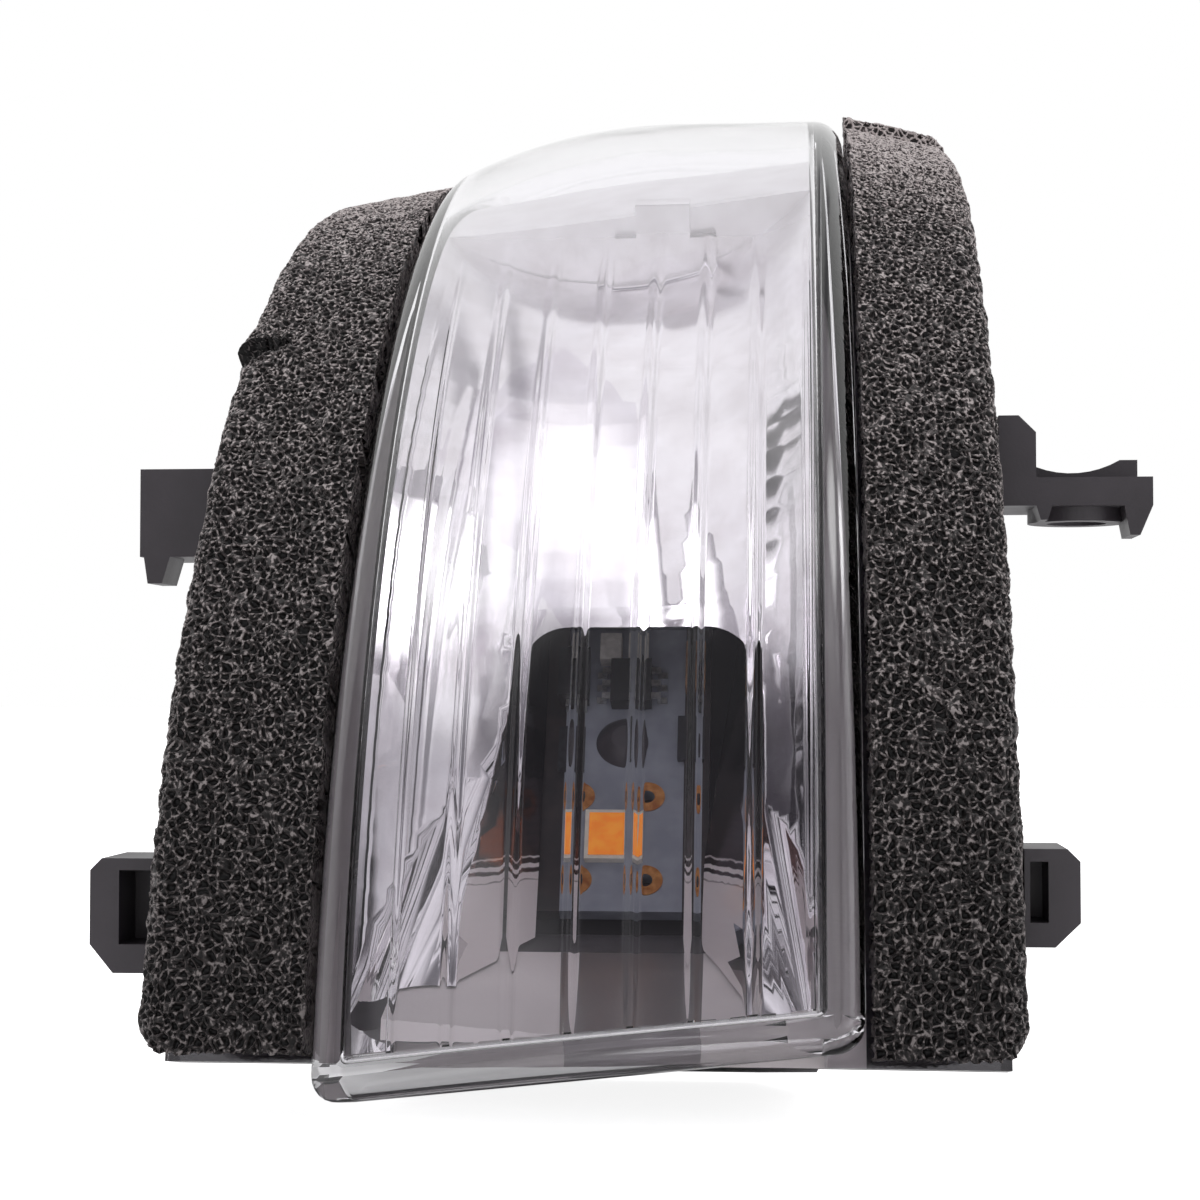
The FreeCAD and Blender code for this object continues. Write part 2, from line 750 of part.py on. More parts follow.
def rear_housing():
    """Black housing: hollow tub, tabs, board stakes, chin and plug socket in one moulding"""
    filled = tub_filled()
    tabs = [
        fixing_arm(),
        hook_tab(),
        snap_clip(-1, CLIP_LEFT_REACH, CLIP_LEFT_HEIGHT, CLIP_LEFT_ANGLE, CLIP_LEFT_SETBACK),
        snap_clip(1, CLIP_RIGHT_REACH, CLIP_RIGHT_HEIGHT, CLIP_RIGHT_ANGLE, CLIP_RIGHT_SETBACK),
    ]
    front = lens_side()
    outside = [tab.cut(front) for tab in tabs]
    mouth = socket_mouth()
    floor = mouth - SOCKET_DEPTH
    shroud = socket_box(SOCKET_WALL, floor - SOCKET_HEIGHT, mouth)
    body = filled.fuse(outside + [shroud, socket_latch()]).cut(tub_hollow())
    body = body.cut(socket_box(0, floor, mouth + SOCKET_WALL))
    for piece in stakes(filled) + [chin()]:
        body = body.fuse(piece)
    return body.cut(blades(BLADE_CLEAR)).removeSplitter()


def trough_arc():
    """Front arc of the trough: its left, middle and right points, its centre and its radius"""
    left = (-REFLECTOR_HALF, crown_at(-REFLECTOR_HALF, 0) - RIM_DROP)
    right = (REFLECTOR_HALF, crown_at(REFLECTOR_HALF, 0) - RIM_DROP)
    chord = math.hypot(right[0] - left[0], right[1] - left[1])
    inwards = ((right[1] - left[1]) / chord, -(right[0] - left[0]) / chord)
    radius = chord ** 2 / (8 * TROUGH_SAG) + TROUGH_SAG / 2
    middle = tuple((a + b) / 2 + TROUGH_SAG * n for a, b, n in zip(left, right, inwards))
    centre = tuple(m - radius * n for m, n in zip(middle, inwards))
    return left, middle, right, centre, radius


def trough_back():
    """Points along the back of the trough, one wall behind its arc, from right to left"""
    centre, radius = trough_arc()[3:]
    points = []
    for share in (1, 0.5, 0, -0.5, -1):
        x = share * REFLECTOR_FEET
        points.append((x, centre[1] - math.sqrt((radius + REFLECTOR_WALL) ** 2 - (x - centre[0]) ** 2)))
    return points


def reflector_section(front_steps, back_steps):
    """Reflector section standing on two feet on the housing, closed by its front and its back"""
    feet = (-REFLECTOR_HALF, REFLECTOR_HALF, REFLECTOR_FEET, -REFLECTOR_FEET)
    outer_left, outer_right, inner_right, inner_left = ((x, seat_at(x)) for x in feet)
    rise = [[outer_left]] + front_steps + [[outer_right], [inner_right]]
    return profile(rise + back_steps + [[inner_left]])


def rounded_corner(before, corner, after, radius):
    """Arc that rounds a corner between its neighbours"""
    one = (before - corner).normalize()
    two = (after - corner).normalize()
    half = one.getAngle(two) / 2
    between = (one + two).normalize()
    reach = radius / math.tan(half)
    middle = corner + between * (radius / math.sin(half) - radius)
    return Part.Arc(corner + one * reach, middle, corner + two * reach)


def niche_wire(points, rounding, out):
    """Outline of the niche at a height over the board, with its two upper corners rounded"""
    low_left, low_right, high_right, high_left = (Vector(x - LED_X, up, out) for x, up in points)
    right = rounded_corner(low_right, high_right, high_left, rounding)
    left = rounded_corner(high_right, high_left, low_left, rounding)
    return Part.Wire([
        Part.makeLine(low_left, low_right),
        Part.makeLine(low_right, right.StartPoint),
        right.toShape(),
        Part.makeLine(right.EndPoint, left.StartPoint),
        left.toShape(),
        Part.makeLine(left.EndPoint, low_left),
    ])


def niche(grow):
    """Flared space of the LED niche, from the board to in front of the trough, grown sideways"""
    back = [
        (NICHE_BACK_LEFT - grow, NICHE_BACK_LOW - CHIN_THICKNESS),
        (NICHE_BACK_RIGHT + grow, NICHE_BACK_LOW - CHIN_THICKNESS),
        (NICHE_BACK_TOP_RIGHT + grow, NICHE_BACK_HIGH + grow),
        (NICHE_BACK_LEFT - grow, NICHE_BACK_HIGH + grow),
    ]
    front = [
        (NICHE_FRONT_LEFT - grow, NICHE_FRONT_LOW - CHIN_THICKNESS),
        (NICHE_FRONT_RIGHT + grow, NICHE_FRONT_LOW - CHIN_THICKNESS),
        (NICHE_FRONT_TOP_RIGHT + grow, NICHE_FRONT_HIGH + grow),
        (NICHE_FRONT_TOP_LEFT - grow, NICHE_FRONT_HIGH + grow),
    ]
    wires = [
        niche_wire(back, NICHE_BACK_ROUND + grow, NICHE_LIFT),
        niche_wire(front, NICHE_FRONT_ROUND + grow, NICHE_LIFT + NICHE_DEPTH),
    ]
    return on_board(Part.makeLoft(wires, True, True))


def scoop(turn, angle, lean):
    """Round cutter lying along the trough, which leaves an almond-shaped hollow beside the niche"""
    centre, radius = trough_arc()[3:]
    inset = radius + SCOOP_DEPTH - SCOOP_RADIUS
    x = centre[0] + inset * math.sin(math.radians(turn))
    y, z = place(angle, centre[1] - inset * math.cos(math.radians(turn)))
    rise, tilt = math.radians(angle), math.radians(lean)
    along = Vector(math.sin(tilt), math.sin(rise) * math.cos(tilt), math.cos(rise) * math.cos(tilt))
    return Part.makeCylinder(SCOOP_RADIUS, TUB_RADIUS, Vector(x, y, z) - along * (TUB_RADIUS / 2), along)


def reflector():
    """Bright reflector: trough, LED niche, stepped key and the shelf that closes the top"""
    left, middle, right = trough_arc()[:3]
    curved_front = [[left], [middle, right]]
    flat_front = [[left], [right]]
    trough_behind = [[point] for point in trough_back()]
    shelf_back = [(REFLECTOR_FEET, right[1] - REFLECTOR_WALL), (-REFLECTOR_FEET, left[1] - REFLECTOR_WALL)]
    step = wall_angle(REFLECTOR_WALL, CROWN_RADIUS)
    trough = sweep(reflector_section(curved_front, trough_behind), FLANGE_START, TROUGH_STOP)
    wall = sweep(reflector_section(flat_front, trough_behind), TROUGH_STOP, TROUGH_STOP + step)
    shelf = sweep(reflector_section(flat_front, [[point] for point in shelf_back]), TROUGH_STOP, SHELF_STOP)
    keys = []
    floor = middle[1] - REFLECTOR_WALL / 2
    key_start = TROUGH_STOP - wall_angle(KEY_DEPTH, CROWN_RADIUS)
    for width, rise in ((KEY_WIDE, KEY_LOW), (KEY_NARROW, KEY_HIGH)):
        top = middle[1] + rise
        start = KEY_X - width / 2
        points = [(start, floor), (start + width, floor), (start + width, top), (start, top)]
        keys.append(sweep(outline(points), key_start, TROUGH_STOP + step / 2))
    behind = profile([[(REFLECTOR_HALF, NEAR_AXIS)], [(-REFLECTOR_HALF, NEAR_AXIS)]] + curved_front)
    slot = TUB_INNER - REFLECTOR_GAP
    inside = outline([
        (-slot, NEAR_AXIS),
        (-slot, seat_at(-slot)),
        (-REFLECTOR_HALF, seat_at(-REFLECTOR_HALF)),
        (-REFLECTOR_HALF, OUT_OF_REACH),
        (REFLECTOR_HALF, OUT_OF_REACH),
        (REFLECTOR_HALF, seat_at(REFLECTOR_HALF)),
        (slot, seat_at(slot)),
        (slot, NEAR_AXIS),
    ])
    walls = niche(REFLECTOR_WALL).common(sweep(behind, 0, TROUGH_STOP)).common(sweep(inside, 0, TROUGH_STOP))
    chin_back, chin_front = chin_line()
    under = [
        (chin_back[0] + HOUSING_WALL, chin_back[1]),
        chin_back,
        chin_front,
        (chin_front[0] - HOUSING_WALL, chin_front[1]),
        (chin_front[0] - HOUSING_WALL, 0),
        (chin_back[0] + HOUSING_WALL, 0),
    ]
    clear = REFLECTOR_GAP / 2
    room = prism_x([(y, z + clear) for y, z in under], -TUB_INNER - clear, TUB_INNER + clear)
    solid = trough.fuse([wall, shelf, walls] + keys)
    solid = solid.cut(niche(0)).cut(room).cut(below_slant(LENS_WALL + REFLECTOR_GAP)[0])
    for side in ((SCOOP_LEFT_TURN, SCOOP_LEFT_ANGLE, SCOOP_LEFT_LEAN),
                 (SCOOP_RIGHT_TURN, SCOOP_RIGHT_ANGLE, SCOOP_RIGHT_LEAN)):
        solid = solid.cut(scoop(*side))
    return solid.removeSplitter()


def stake_holes():
    """Holes in the board for the housing's pins"""
    radius = STAKE_PIN / 2 + STAKE_CLEAR
    return [
        Part.makeCylinder(radius, 2 * BOARD_THICKNESS, Vector(STAKE_ACROSS, up, -1.5 * BOARD_THICKNESS))
        for up in STAKE_UP
    ]


def eyelet_spots():
    """Places of the four plated holes round the LED"""
    return [(x * EYELET_ACROSS / 2, y * EYELET_UP / 2) for x in (-1, 1) for y in (-1, 1)]


def circuit_board():
    """Board with holes for the stakes, the eyelets and the blades"""
    low = Vector(BOARD_MIDDLE - BOARD_WIDTH / 2, -BOARD_BELOW, -BOARD_THICKNESS)
    board = Part.makeBox(BOARD_WIDTH, BOARD_BELOW + BOARD_ABOVE, BOARD_THICKNESS, low)
    holes = stake_holes()
    for x, y in eyelet_spots():
        holes.append(Part.makeCylinder(EYELET_INNER / 2, 2 * BOARD_THICKNESS, Vector(x, y, -1.5 * BOARD_THICKNESS)))
    return on_board(board.cut(holes)).cut(blades(BLADE_CLEAR))


def led_package():
    """White LED body"""
    return on_board(board_block((0, 0), (LED_SIDE, LED_SIDE, LED_HEIGHT)))


def led_phosphor():
    """Amber emitting face on the LED body"""
    return on_board(board_block((0, 0), (PHOSPHOR_SIDE, PHOSPHOR_SIDE, PHOSPHOR_HEIGHT), LED_HEIGHT))


def plated_eyelets():
    """Plated rings round the four holes"""
    rings = []
    for x, y in eyelet_spots():
        ring = Part.makeCylinder(EYELET_OUTER / 2, EYELET_HEIGHT, Vector(x, y, 0))
        drill = Part.makeCylinder(EYELET_INNER / 2, 3 * EYELET_HEIGHT, Vector(x, y, -EYELET_HEIGHT))
        rings.append(on_board(ring.cut(drill)))
    return Part.makeCompound(rings)


def driver_chip():
    """Moulded body of the LED driver"""
    return on_board(board_block(CHIP_SPOT, CHIP_SIZE, CHIP_LIFT))


def driver_chip_legs():
    """Gull-wing legs of the driver, three a side"""
    made = []
    high = CHIP_LIFT + CHIP_SIZE[2] / 2
    thick = CHIP_LEG_THICKNESS
    for side in (-1, 1):
        inner = CHIP_SPOT[0] + side * CHIP_SIZE[0] / 2
        knee = inner + side * (CHIP_LEG_REACH / 2 - thick / 2)
        toe = inner + side * CHIP_LEG_REACH
        points = [
            (inner, high),
            (knee, high),
            (knee, 0),
            (toe, 0),
            (toe, thick),
            (knee + side * thick, thick),
            (knee + side * thick, high + thick),
            (inner, high + thick),
        ]
        for row in (-1, 0, 1):
            low = CHIP_SPOT[1] + row * CHIP_LEG_PITCH - CHIP_LEG_WIDTH / 2
            corners = [Vector(x, low, z) for x, z in points]
            face = Part.Face(Part.makePolygon(corners + corners[:1]))
            made.append(on_board(face.extrude(Vector(0, CHIP_LEG_WIDTH, 0))))
    return Part.makeCompound(made)


def surge_diode():
    """Moulded body of the surge diode"""
    return on_board(board_block(SURGE_SPOT, SURGE_SIZE))


def surge_diode_tabs():
    """Metal tabs at both ends of the surge diode"""
    made = []
    for end in (-1, 1):
        up = SURGE_SPOT[1] + end * (SURGE_SIZE[1] + SURGE_TAB[1]) / 2
        made.append(on_board(board_block((SURGE_SPOT[0], up), SURGE_TAB)))
    return Part.makeCompound(made)


def signal_diode():
    """Glass diode lying along the board"""
    radius = GLASS_DIAMETER / 2
    low = Vector(GLASS_SPOT[0], GLASS_SPOT[1] - GLASS_LENGTH / 2, radius)
    return on_board(Part.makeCylinder(radius, GLASS_LENGTH, low, ALONG_Y))


def chip_resistors():
    """Flat chip resistors"""
    return Part.makeCompound([on_board(board_block(place, RESISTOR_SIZE)) for place in RESISTOR_SPOTS])


def chip_capacitors():
    """Ceramic chip capacitors"""
    return Part.makeCompound([on_board(board_block(place, CAPACITOR_SIZE)) for place in CAPACITOR_SPOTS])


def terminal_blades():
    """Bent blades from the board to the plug"""
    return Part.makeCompound(blades(0))


NODES = (
    outer_lens,
    rear_housing,
    reflector,
    left_foam,
    right_foam,
    circuit_board,
    led_package,
    led_phosphor,
    plated_eyelets,
    driver_chip,
    driver_chip_legs,
    surge_diode,
    surge_diode_tabs,
    signal_diode,
    chip_resistors,
    chip_capacitors,
    terminal_blades,
)

os.makedirs("parts", exist_ok=True)
for build in NODES:
    shape = build()
    shape.translate(Vector(-HOLE_X, -HOLE_Y, -HOLE_Z))
    shape.exportStep("parts/" + build.__name__ + ".step")
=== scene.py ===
# Looks of the door-mirror turn signal lamp, built round its solids.
# Sections are in millimetres, as x across the lamp and r out from its sweep axis; meshes are in metres.
import math

import bmesh
import bpy
from mathutils import Matrix, Vector


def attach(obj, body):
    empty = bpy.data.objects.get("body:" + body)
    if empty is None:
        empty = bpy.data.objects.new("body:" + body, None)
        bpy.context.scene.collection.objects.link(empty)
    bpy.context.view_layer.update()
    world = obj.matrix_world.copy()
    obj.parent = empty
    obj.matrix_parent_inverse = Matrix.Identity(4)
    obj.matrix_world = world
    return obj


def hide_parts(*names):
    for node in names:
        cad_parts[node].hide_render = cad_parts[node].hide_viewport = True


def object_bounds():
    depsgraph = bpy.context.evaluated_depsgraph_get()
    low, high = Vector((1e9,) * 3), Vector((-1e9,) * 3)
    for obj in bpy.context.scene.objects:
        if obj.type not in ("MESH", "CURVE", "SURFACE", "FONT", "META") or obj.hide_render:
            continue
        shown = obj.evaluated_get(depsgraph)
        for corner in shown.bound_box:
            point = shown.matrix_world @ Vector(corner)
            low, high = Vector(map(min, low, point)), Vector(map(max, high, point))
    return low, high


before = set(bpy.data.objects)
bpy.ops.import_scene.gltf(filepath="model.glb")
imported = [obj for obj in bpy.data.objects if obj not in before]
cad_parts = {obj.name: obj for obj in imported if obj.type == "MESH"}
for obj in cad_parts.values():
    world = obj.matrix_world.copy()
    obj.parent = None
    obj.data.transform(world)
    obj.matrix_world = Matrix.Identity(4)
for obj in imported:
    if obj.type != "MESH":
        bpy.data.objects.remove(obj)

cad_low, cad_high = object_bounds()

# Place of the sweep axis in the frame
MM = 0.001
MIDDLE_X = -33.3
AXIS_Y = 58.5
AXIS_Z = -53.3

# Camera, taking the picture as a square
CAMERA_PLACE = (-20.25, -170.5, -14.9)
CAMERA_TURN = 4.79
CAMERA_RISE = 2.18
CAMERA_LENS = 70.0
SENSOR = 36.0
CLIP_NEAR = 10
CLIP_FAR = 20000

# Stage: the floor just under the lamp, the point that the panels light, the way to the flag
FLOOR_HALF = 3000
FLOOR_DROP = 0.4
LIT_POINT = (-33, 0, 0)
FLAG_WAY = (-0.10, -0.74, 0.67)

# Turns of light that still show through both faces of the lens and back from the reflector
BOUNCES = 9
DIFFUSE_BOUNCES = 2

# Lens crown
CROWN_RADIUS = 91.6
CROWN_HALF = 17.2
CROWN_ROLL_RADIUS = 44.2
CROWN_ROLL_X = 2.4
LEFT_CORNER = 3.0
RIGHT_CORNER = 2.4
INNER_CORNER = 0.5
CORNER_STEPS = 6
LENS_WALL = 2.4
LENS_EDGE = 1.8
LENS_START = 9.6
LENS_STOP = 86.0
LENS_SLANT = 6.0
LENS_STEPS = 96

# Flutes along the inside of the crown, with a thin ridge between them
FLUTE_COUNT = 7
FLUTE_PITCH = 3.7
FLUTE_SAG = 0.03
FLUTE_MIDDLE = 1.2
FLUTE_FADE = (38.0, 54.0)
FLUTE_SLACK = 0.02
RIDGE_RISE = 0.15
RIDGE_HALF = 0.6
OUTER_STEP = 0.4
INNER_STEP = 0.09

# Flanges of the lens
FLANGE_THICKNESS = 2.0
FLANGE_ROOT = 0.05
SEAT_HAIRLINE = 0.04
FLANGE_START = 10.2
FLANGE_STOP = 87.5
FLANGE_FALL = {-1: 9.4, 1: 13.0}

# Foam gaskets and their cells
FOAM_WIDTH = {-1: 11.4, 1: 9.4}
FOAM_OVERHANG = 0.6
FOAM_THICKNESS = 6.0
FOAM_GAP = 0.4
FOAM_SINK = 0.6
FOAM_EDGE = 1.6
FOAM_CORNER = 2.2
FOAM_BACK = 0.2
FOAM_START = 10.4
FOAM_STOP = 84.5
FOAM_STEPS = 50
FOAM_GRID = 0.15
FOAM_CELL = 0.58
FOAM_PIT = 0.42
FOAM_SWELL = 0.3
FOAM_WARP = 0.9

# Heights over which painted light makes the foam paler at the top, and darker below and lighter above
TOP_LIGHT_LOW = 20.0
TOP_LIGHT_HIGH = 36.0
HEIGHT_LIGHT_LOW = -30.0
HEIGHT_LIGHT_HIGH = 30.0

# Ripped notch of the left gasket, with its ragged walls, the lip above it and painted shade in and around it
NOTCH_ANGLE = 49.6
NOTCH_REACH = 4.0
NOTCH_OPENING = 3.2
NOTCH_TAPER = 0.7
NOTCH_FLOOR = 0.15
NOTCH_RAGGED = 0.25
NOTCH_TEETH = 5
NOTCH_LIP = 0.7
NOTCH_RIM = 0.2
NOTCH_FADE = 3.5

# Raised lip at the top of the right gasket
LIP_RISE = 1.6
LIP_SPAN = 3.0
LIP_RAMP = 0.5

# Eased edges of the housing
HOUSING_EASE = 0.45

# Patch on the housing's faces that look out to the crown: grey metal in the middle, and painted pale light to
# the sides, standing for light on the chin and seat
METAL_AND_LIGHT_MIDDLE = 2.95
METAL_AND_LIGHT_BARE = 4.15
METAL_AND_LIGHT_HALF = 17.2
METAL_AND_LIGHT_RADIUS = 77.5
METAL_AND_LIGHT_FACING = 10.0

# White mask of the board, from side to side
MASK_LEFT = -2.9
MASK_RIGHT = 5.4

# Reflector: the trough's middle, from which the niche sinks back,
# the fine comb on the niche walls with the heights between which a painted reflection darkens them above a
# pale painted foot, and the heights between which the trough turns from clear to frosted
TROUGH_RADIUS = 81.4
COMB_PITCH = 0.6
COMB_REACH = 1.6
COMB_DEPTH = 0.003
REFLECTION_PAINT_LOW = -26.5
REFLECTION_PAINT_HIGH = -12.0
REFLECTION_PAINT_EDGE = 0.5
FROST_LOW = 8.0
FROST_HIGH = 24.0

# Bands of a wave texture of scale one, in its own units
WAVE_PITCH = math.tau / 20

TO_FRAME = Matrix.Translation(Vector((MIDDLE_X, AXIS_Y, AXIS_Z)) * MM) @ Matrix.Scale(MM, 4)


def linear(colour):
    """Linear colour of an sRGB hex value"""
    parts = [int(colour[at:at + 2], 16) / 255 for at in (1, 3, 5)]
    return tuple(c / 12.92 if c <= 0.04045 else ((c + 0.055) / 1.055) ** 2.4 for c in parts) + (1.0,)


def add(tree, kind, inputs=None, stops=(), **settings):
    """Adds a node with its settings, stops, constants and links; a node given links its first output"""
    made = tree.nodes.new(kind)
    for name, value in settings.items():
        setattr(made, name, value)
    for at, (place, colour) in enumerate(stops):
        elements = made.color_ramp.elements
        element = elements[at] if at < 2 else elements.new(place)
        element.position = place
        element.color = linear(colour)
    for key, value in (inputs or {}).items():
        if isinstance(value, bpy.types.Node):
            value = next(socket for socket in value.outputs if socket.enabled)
        if isinstance(value, bpy.types.NodeSocket):
            tree.links.new(value, made.inputs[key])
        else:
            made.inputs[key].default_value = value
    return made


def new_material(name):
    """Empty node material with its tree"""
    material = bpy.data.materials.new(name)
    material.use_nodes = True
    material.node_tree.nodes.clear()
    return material, material.node_tree


def per_metre(millimetres):
    """Texture scale whose pattern repeats at a real size"""
    return 1 / (millimetres * MM)


def clear_polycarbonate():
    """Clear moulded polycarbonate, polished in the tool: sharp refraction with a faint moulding ripple"""
    material, tree = new_material("clear_polycarbonate")
    place = add(tree, "ShaderNodeTexCoord").outputs["Object"]
    ripple = add(tree, "ShaderNodeTexNoise", {"Vector": place, "Scale": per_metre(9), "Detail": 1.0})
    bump = add(tree, "ShaderNodeBump", {"Height": ripple, "Strength": 0.25, "Distance": 0.05 * MM})
    haze = add(tree, "ShaderNodeTexNoise", {"Vector": place, "Scale": per_metre(2.5), "Detail": 3.0})
    rough = add(tree, "ShaderNodeMapRange", {
        "Value": haze,
        "From Min": 0.45,
        "From Max": 0.75,
        "To Min": 0.0,
        "To Max": 0.035,
    })
    shader = add(tree, "ShaderNodeBsdfPrincipled", {
        "Base Color": linear("#fbfafd"),
        "Roughness": rough,
        "IOR": 1.585,
        "Transmission Weight": 1.0,
        "Normal": bump,
    })
    add(tree, "ShaderNodeOutputMaterial", {"Surface": shader})
    return material


def satin_black():
    """Black ABS from a textured tool, whose grain breaks up its sheen; under the crown, grey metal with
    painted pale light to the sides
    """
    material, tree = new_material("satin_black_abs")
    place = add(tree, "ShaderNodeTexCoord").outputs["Object"]
    cloud = add(tree, "ShaderNodeTexNoise", {"Vector": place, "Scale": per_metre(6), "Detail": 4.0})
    grain = add(tree, "ShaderNodeTexNoise", {"Vector": place, "Scale": per_metre(0.25), "Detail": 2.0})
    black = add(tree, "ShaderNodeValToRGB", {"Fac": cloud}, stops=((0.3, "#393539"), (0.7, "#4a454a")))
    rough = add(tree, "ShaderNodeMapRange", {
        "Value": cloud,
        "From Min": 0.3,
        "From Max": 0.7,
        "To Min": 0.38,
        "To Max": 0.52,
    })
    bump = add(tree, "ShaderNodeBump", {"Height": grain, "Strength": 0.35, "Distance": 0.04 * MM})
    around = add(tree, "ShaderNodeVectorMath", {0: place, 1: TO_FRAME.translation}, operation="SUBTRACT")
    across = add(tree, "ShaderNodeSeparateXYZ", {"Vector": around}).outputs["X"]
    side = add(tree, "ShaderNodeMath", {0: across}, operation="ABSOLUTE")
    under = add(tree, "ShaderNodeMath", {0: side, 1: METAL_AND_LIGHT_HALF * MM}, operation="LESS_THAN")
    radial = add(tree, "ShaderNodeVectorMath", {0: around, 1: (0, 1, 1)}, operation="MULTIPLY")
    reach = add(tree, "ShaderNodeVectorMath", {0: radial}, operation="LENGTH")
    outer = add(tree, "ShaderNodeMath", {0: reach, 1: METAL_AND_LIGHT_RADIUS * MM}, operation="GREATER_THAN")
    normal = add(tree, "ShaderNodeNewGeometry").outputs["Normal"]
    facing = add(tree, "ShaderNodeVectorMath", {0: normal, 1: radial}, operation="DOT_PRODUCT")
    outward = add(tree, "ShaderNodeMath", {0: facing, 1: METAL_AND_LIGHT_FACING * MM}, operation="GREATER_THAN")
    chamber = add(tree, "ShaderNodeMath", {0: under, 1: outer}, operation="MULTIPLY")
    metal_and_light_mask = add(tree, "ShaderNodeMath", {0: chamber, 1: outward}, operation="MULTIPLY")
    middle = add(tree, "ShaderNodeMath", {
        0: across,
        1: METAL_AND_LIGHT_MIDDLE * MM,
        2: METAL_AND_LIGHT_BARE * MM,
    }, operation="COMPARE")
    # Painted light: the patch's sides are painted near white, as light falling on the chin and seat
    pale = add(tree, "ShaderNodeValToRGB", {"Fac": cloud}, stops=((0.3, "#f1e8e9"), (0.7, "#fdf5f5")))
    painted_light = add(tree, "ShaderNodeMix", {"Factor": middle, "A": pale, "B": linear("#a29c9f")}, data_type="RGBA")
    colour = add(tree, "ShaderNodeMix", {"Factor": metal_and_light_mask, "A": black, "B": painted_light}, data_type="RGBA")
    shiny = add(tree, "ShaderNodeMath", {0: metal_and_light_mask, 1: middle}, operation="MULTIPLY")
    shader = add(tree, "ShaderNodeBsdfPrincipled", {
        "Base Color": colour,
        "Metallic": shiny,
        "Roughness": rough,
        "IOR": 1.54,
        "Normal": bump,
    })
    add(tree, "ShaderNodeOutputMaterial", {"Surface": shader})
    return material


def vacuum_metal():
    """Vacuum-metallised moulding: a mirror, frosted at the top, with a painted reflection on its niche walls,
    dark brown down to a combed edge over a pale painted foot
    """
    material, tree = new_material("vacuum_metal")
    place = add(tree, "ShaderNodeTexCoord").outputs["Object"]
    height = add(tree, "ShaderNodeSeparateXYZ", {"Vector": place}).outputs["Z"]
    inside = add(tree, "ShaderNodeAttribute", attribute_name="niche").outputs["Fac"]
    teeth = add(tree, "ShaderNodeTexWave", {
        "Vector": place,
        "Scale": per_metre(COMB_PITCH) * WAVE_PITCH,
        "Distortion": 1.5,
        "Detail": 1.0,
        "Detail Scale": 2.0,
    }, bands_direction="Z").outputs["Fac"]
    comb = add(tree, "ShaderNodeMath", {0: teeth, 1: COMB_REACH * MM, 2: height}, operation="MULTIPLY_ADD")
    reflection_height = add(tree, "ShaderNodeMapRange", {
        "Value": comb,
        "From Min": REFLECTION_PAINT_LOW * MM,
        "From Max": REFLECTION_PAINT_HIGH * MM,
    })
    # Painted reflection: the niche walls are painted dark brown above and near white at the foot, with a
    # combed edge between
    painted_reflection = add(tree, "ShaderNodeValToRGB", {"Fac": reflection_height}, stops=(
        (0.0, "#f6eced"),
        (0.04, "#6b524f"),
        (0.4, "#4a3836"),
        (1.0, "#262021"),
    ))
    cloud = add(tree, "ShaderNodeTexNoise", {"Vector": place, "Scale": per_metre(3), "Detail": 3.0})
    bright = add(tree, "ShaderNodeValToRGB", {"Fac": cloud}, stops=((0.3, "#e6e2e4"), (0.7, "#f6f4f6")))
    colour = add(tree, "ShaderNodeMix", {"Factor": inside, "A": bright, "B": painted_reflection}, data_type="RGBA")
    # Painted light: the pale foot is painted near white and is not metallic
    foot_share = add(tree, "ShaderNodeMapRange", {
        "Value": comb,
        "From Min": REFLECTION_PAINT_LOW * MM,
        "From Max": (REFLECTION_PAINT_LOW + REFLECTION_PAINT_EDGE) * MM,
        "To Min": 1.0,
        "To Max": 0.0,
    })
    painted_pale_foot = add(tree, "ShaderNodeMath", {0: inside, 1: foot_share}, operation="MULTIPLY")
    mirror = add(tree, "ShaderNodeMath", {0: 1.0, 1: painted_pale_foot}, operation="SUBTRACT")
    frost = add(tree, "ShaderNodeMapRange", {
        "Value": height,
        "From Min": FROST_LOW * MM,
        "From Max": FROST_HIGH * MM,
        "To Min": 0.03,
        "To Max": 0.34,
    })
    rough = add(tree, "ShaderNodeMath", {0: inside, 1: 0.1, 2: frost}, operation="MULTIPLY_ADD")
    bump = add(tree, "ShaderNodeBump", {"Height": teeth, "Strength": inside, "Distance": COMB_DEPTH * MM})
    shader = add(tree, "ShaderNodeBsdfPrincipled", {
        "Base Color": colour,
        "Metallic": mirror,
        "Roughness": rough,
        "Normal": bump,
    })
    add(tree, "ShaderNodeOutputMaterial", {"Surface": shader})
    return material


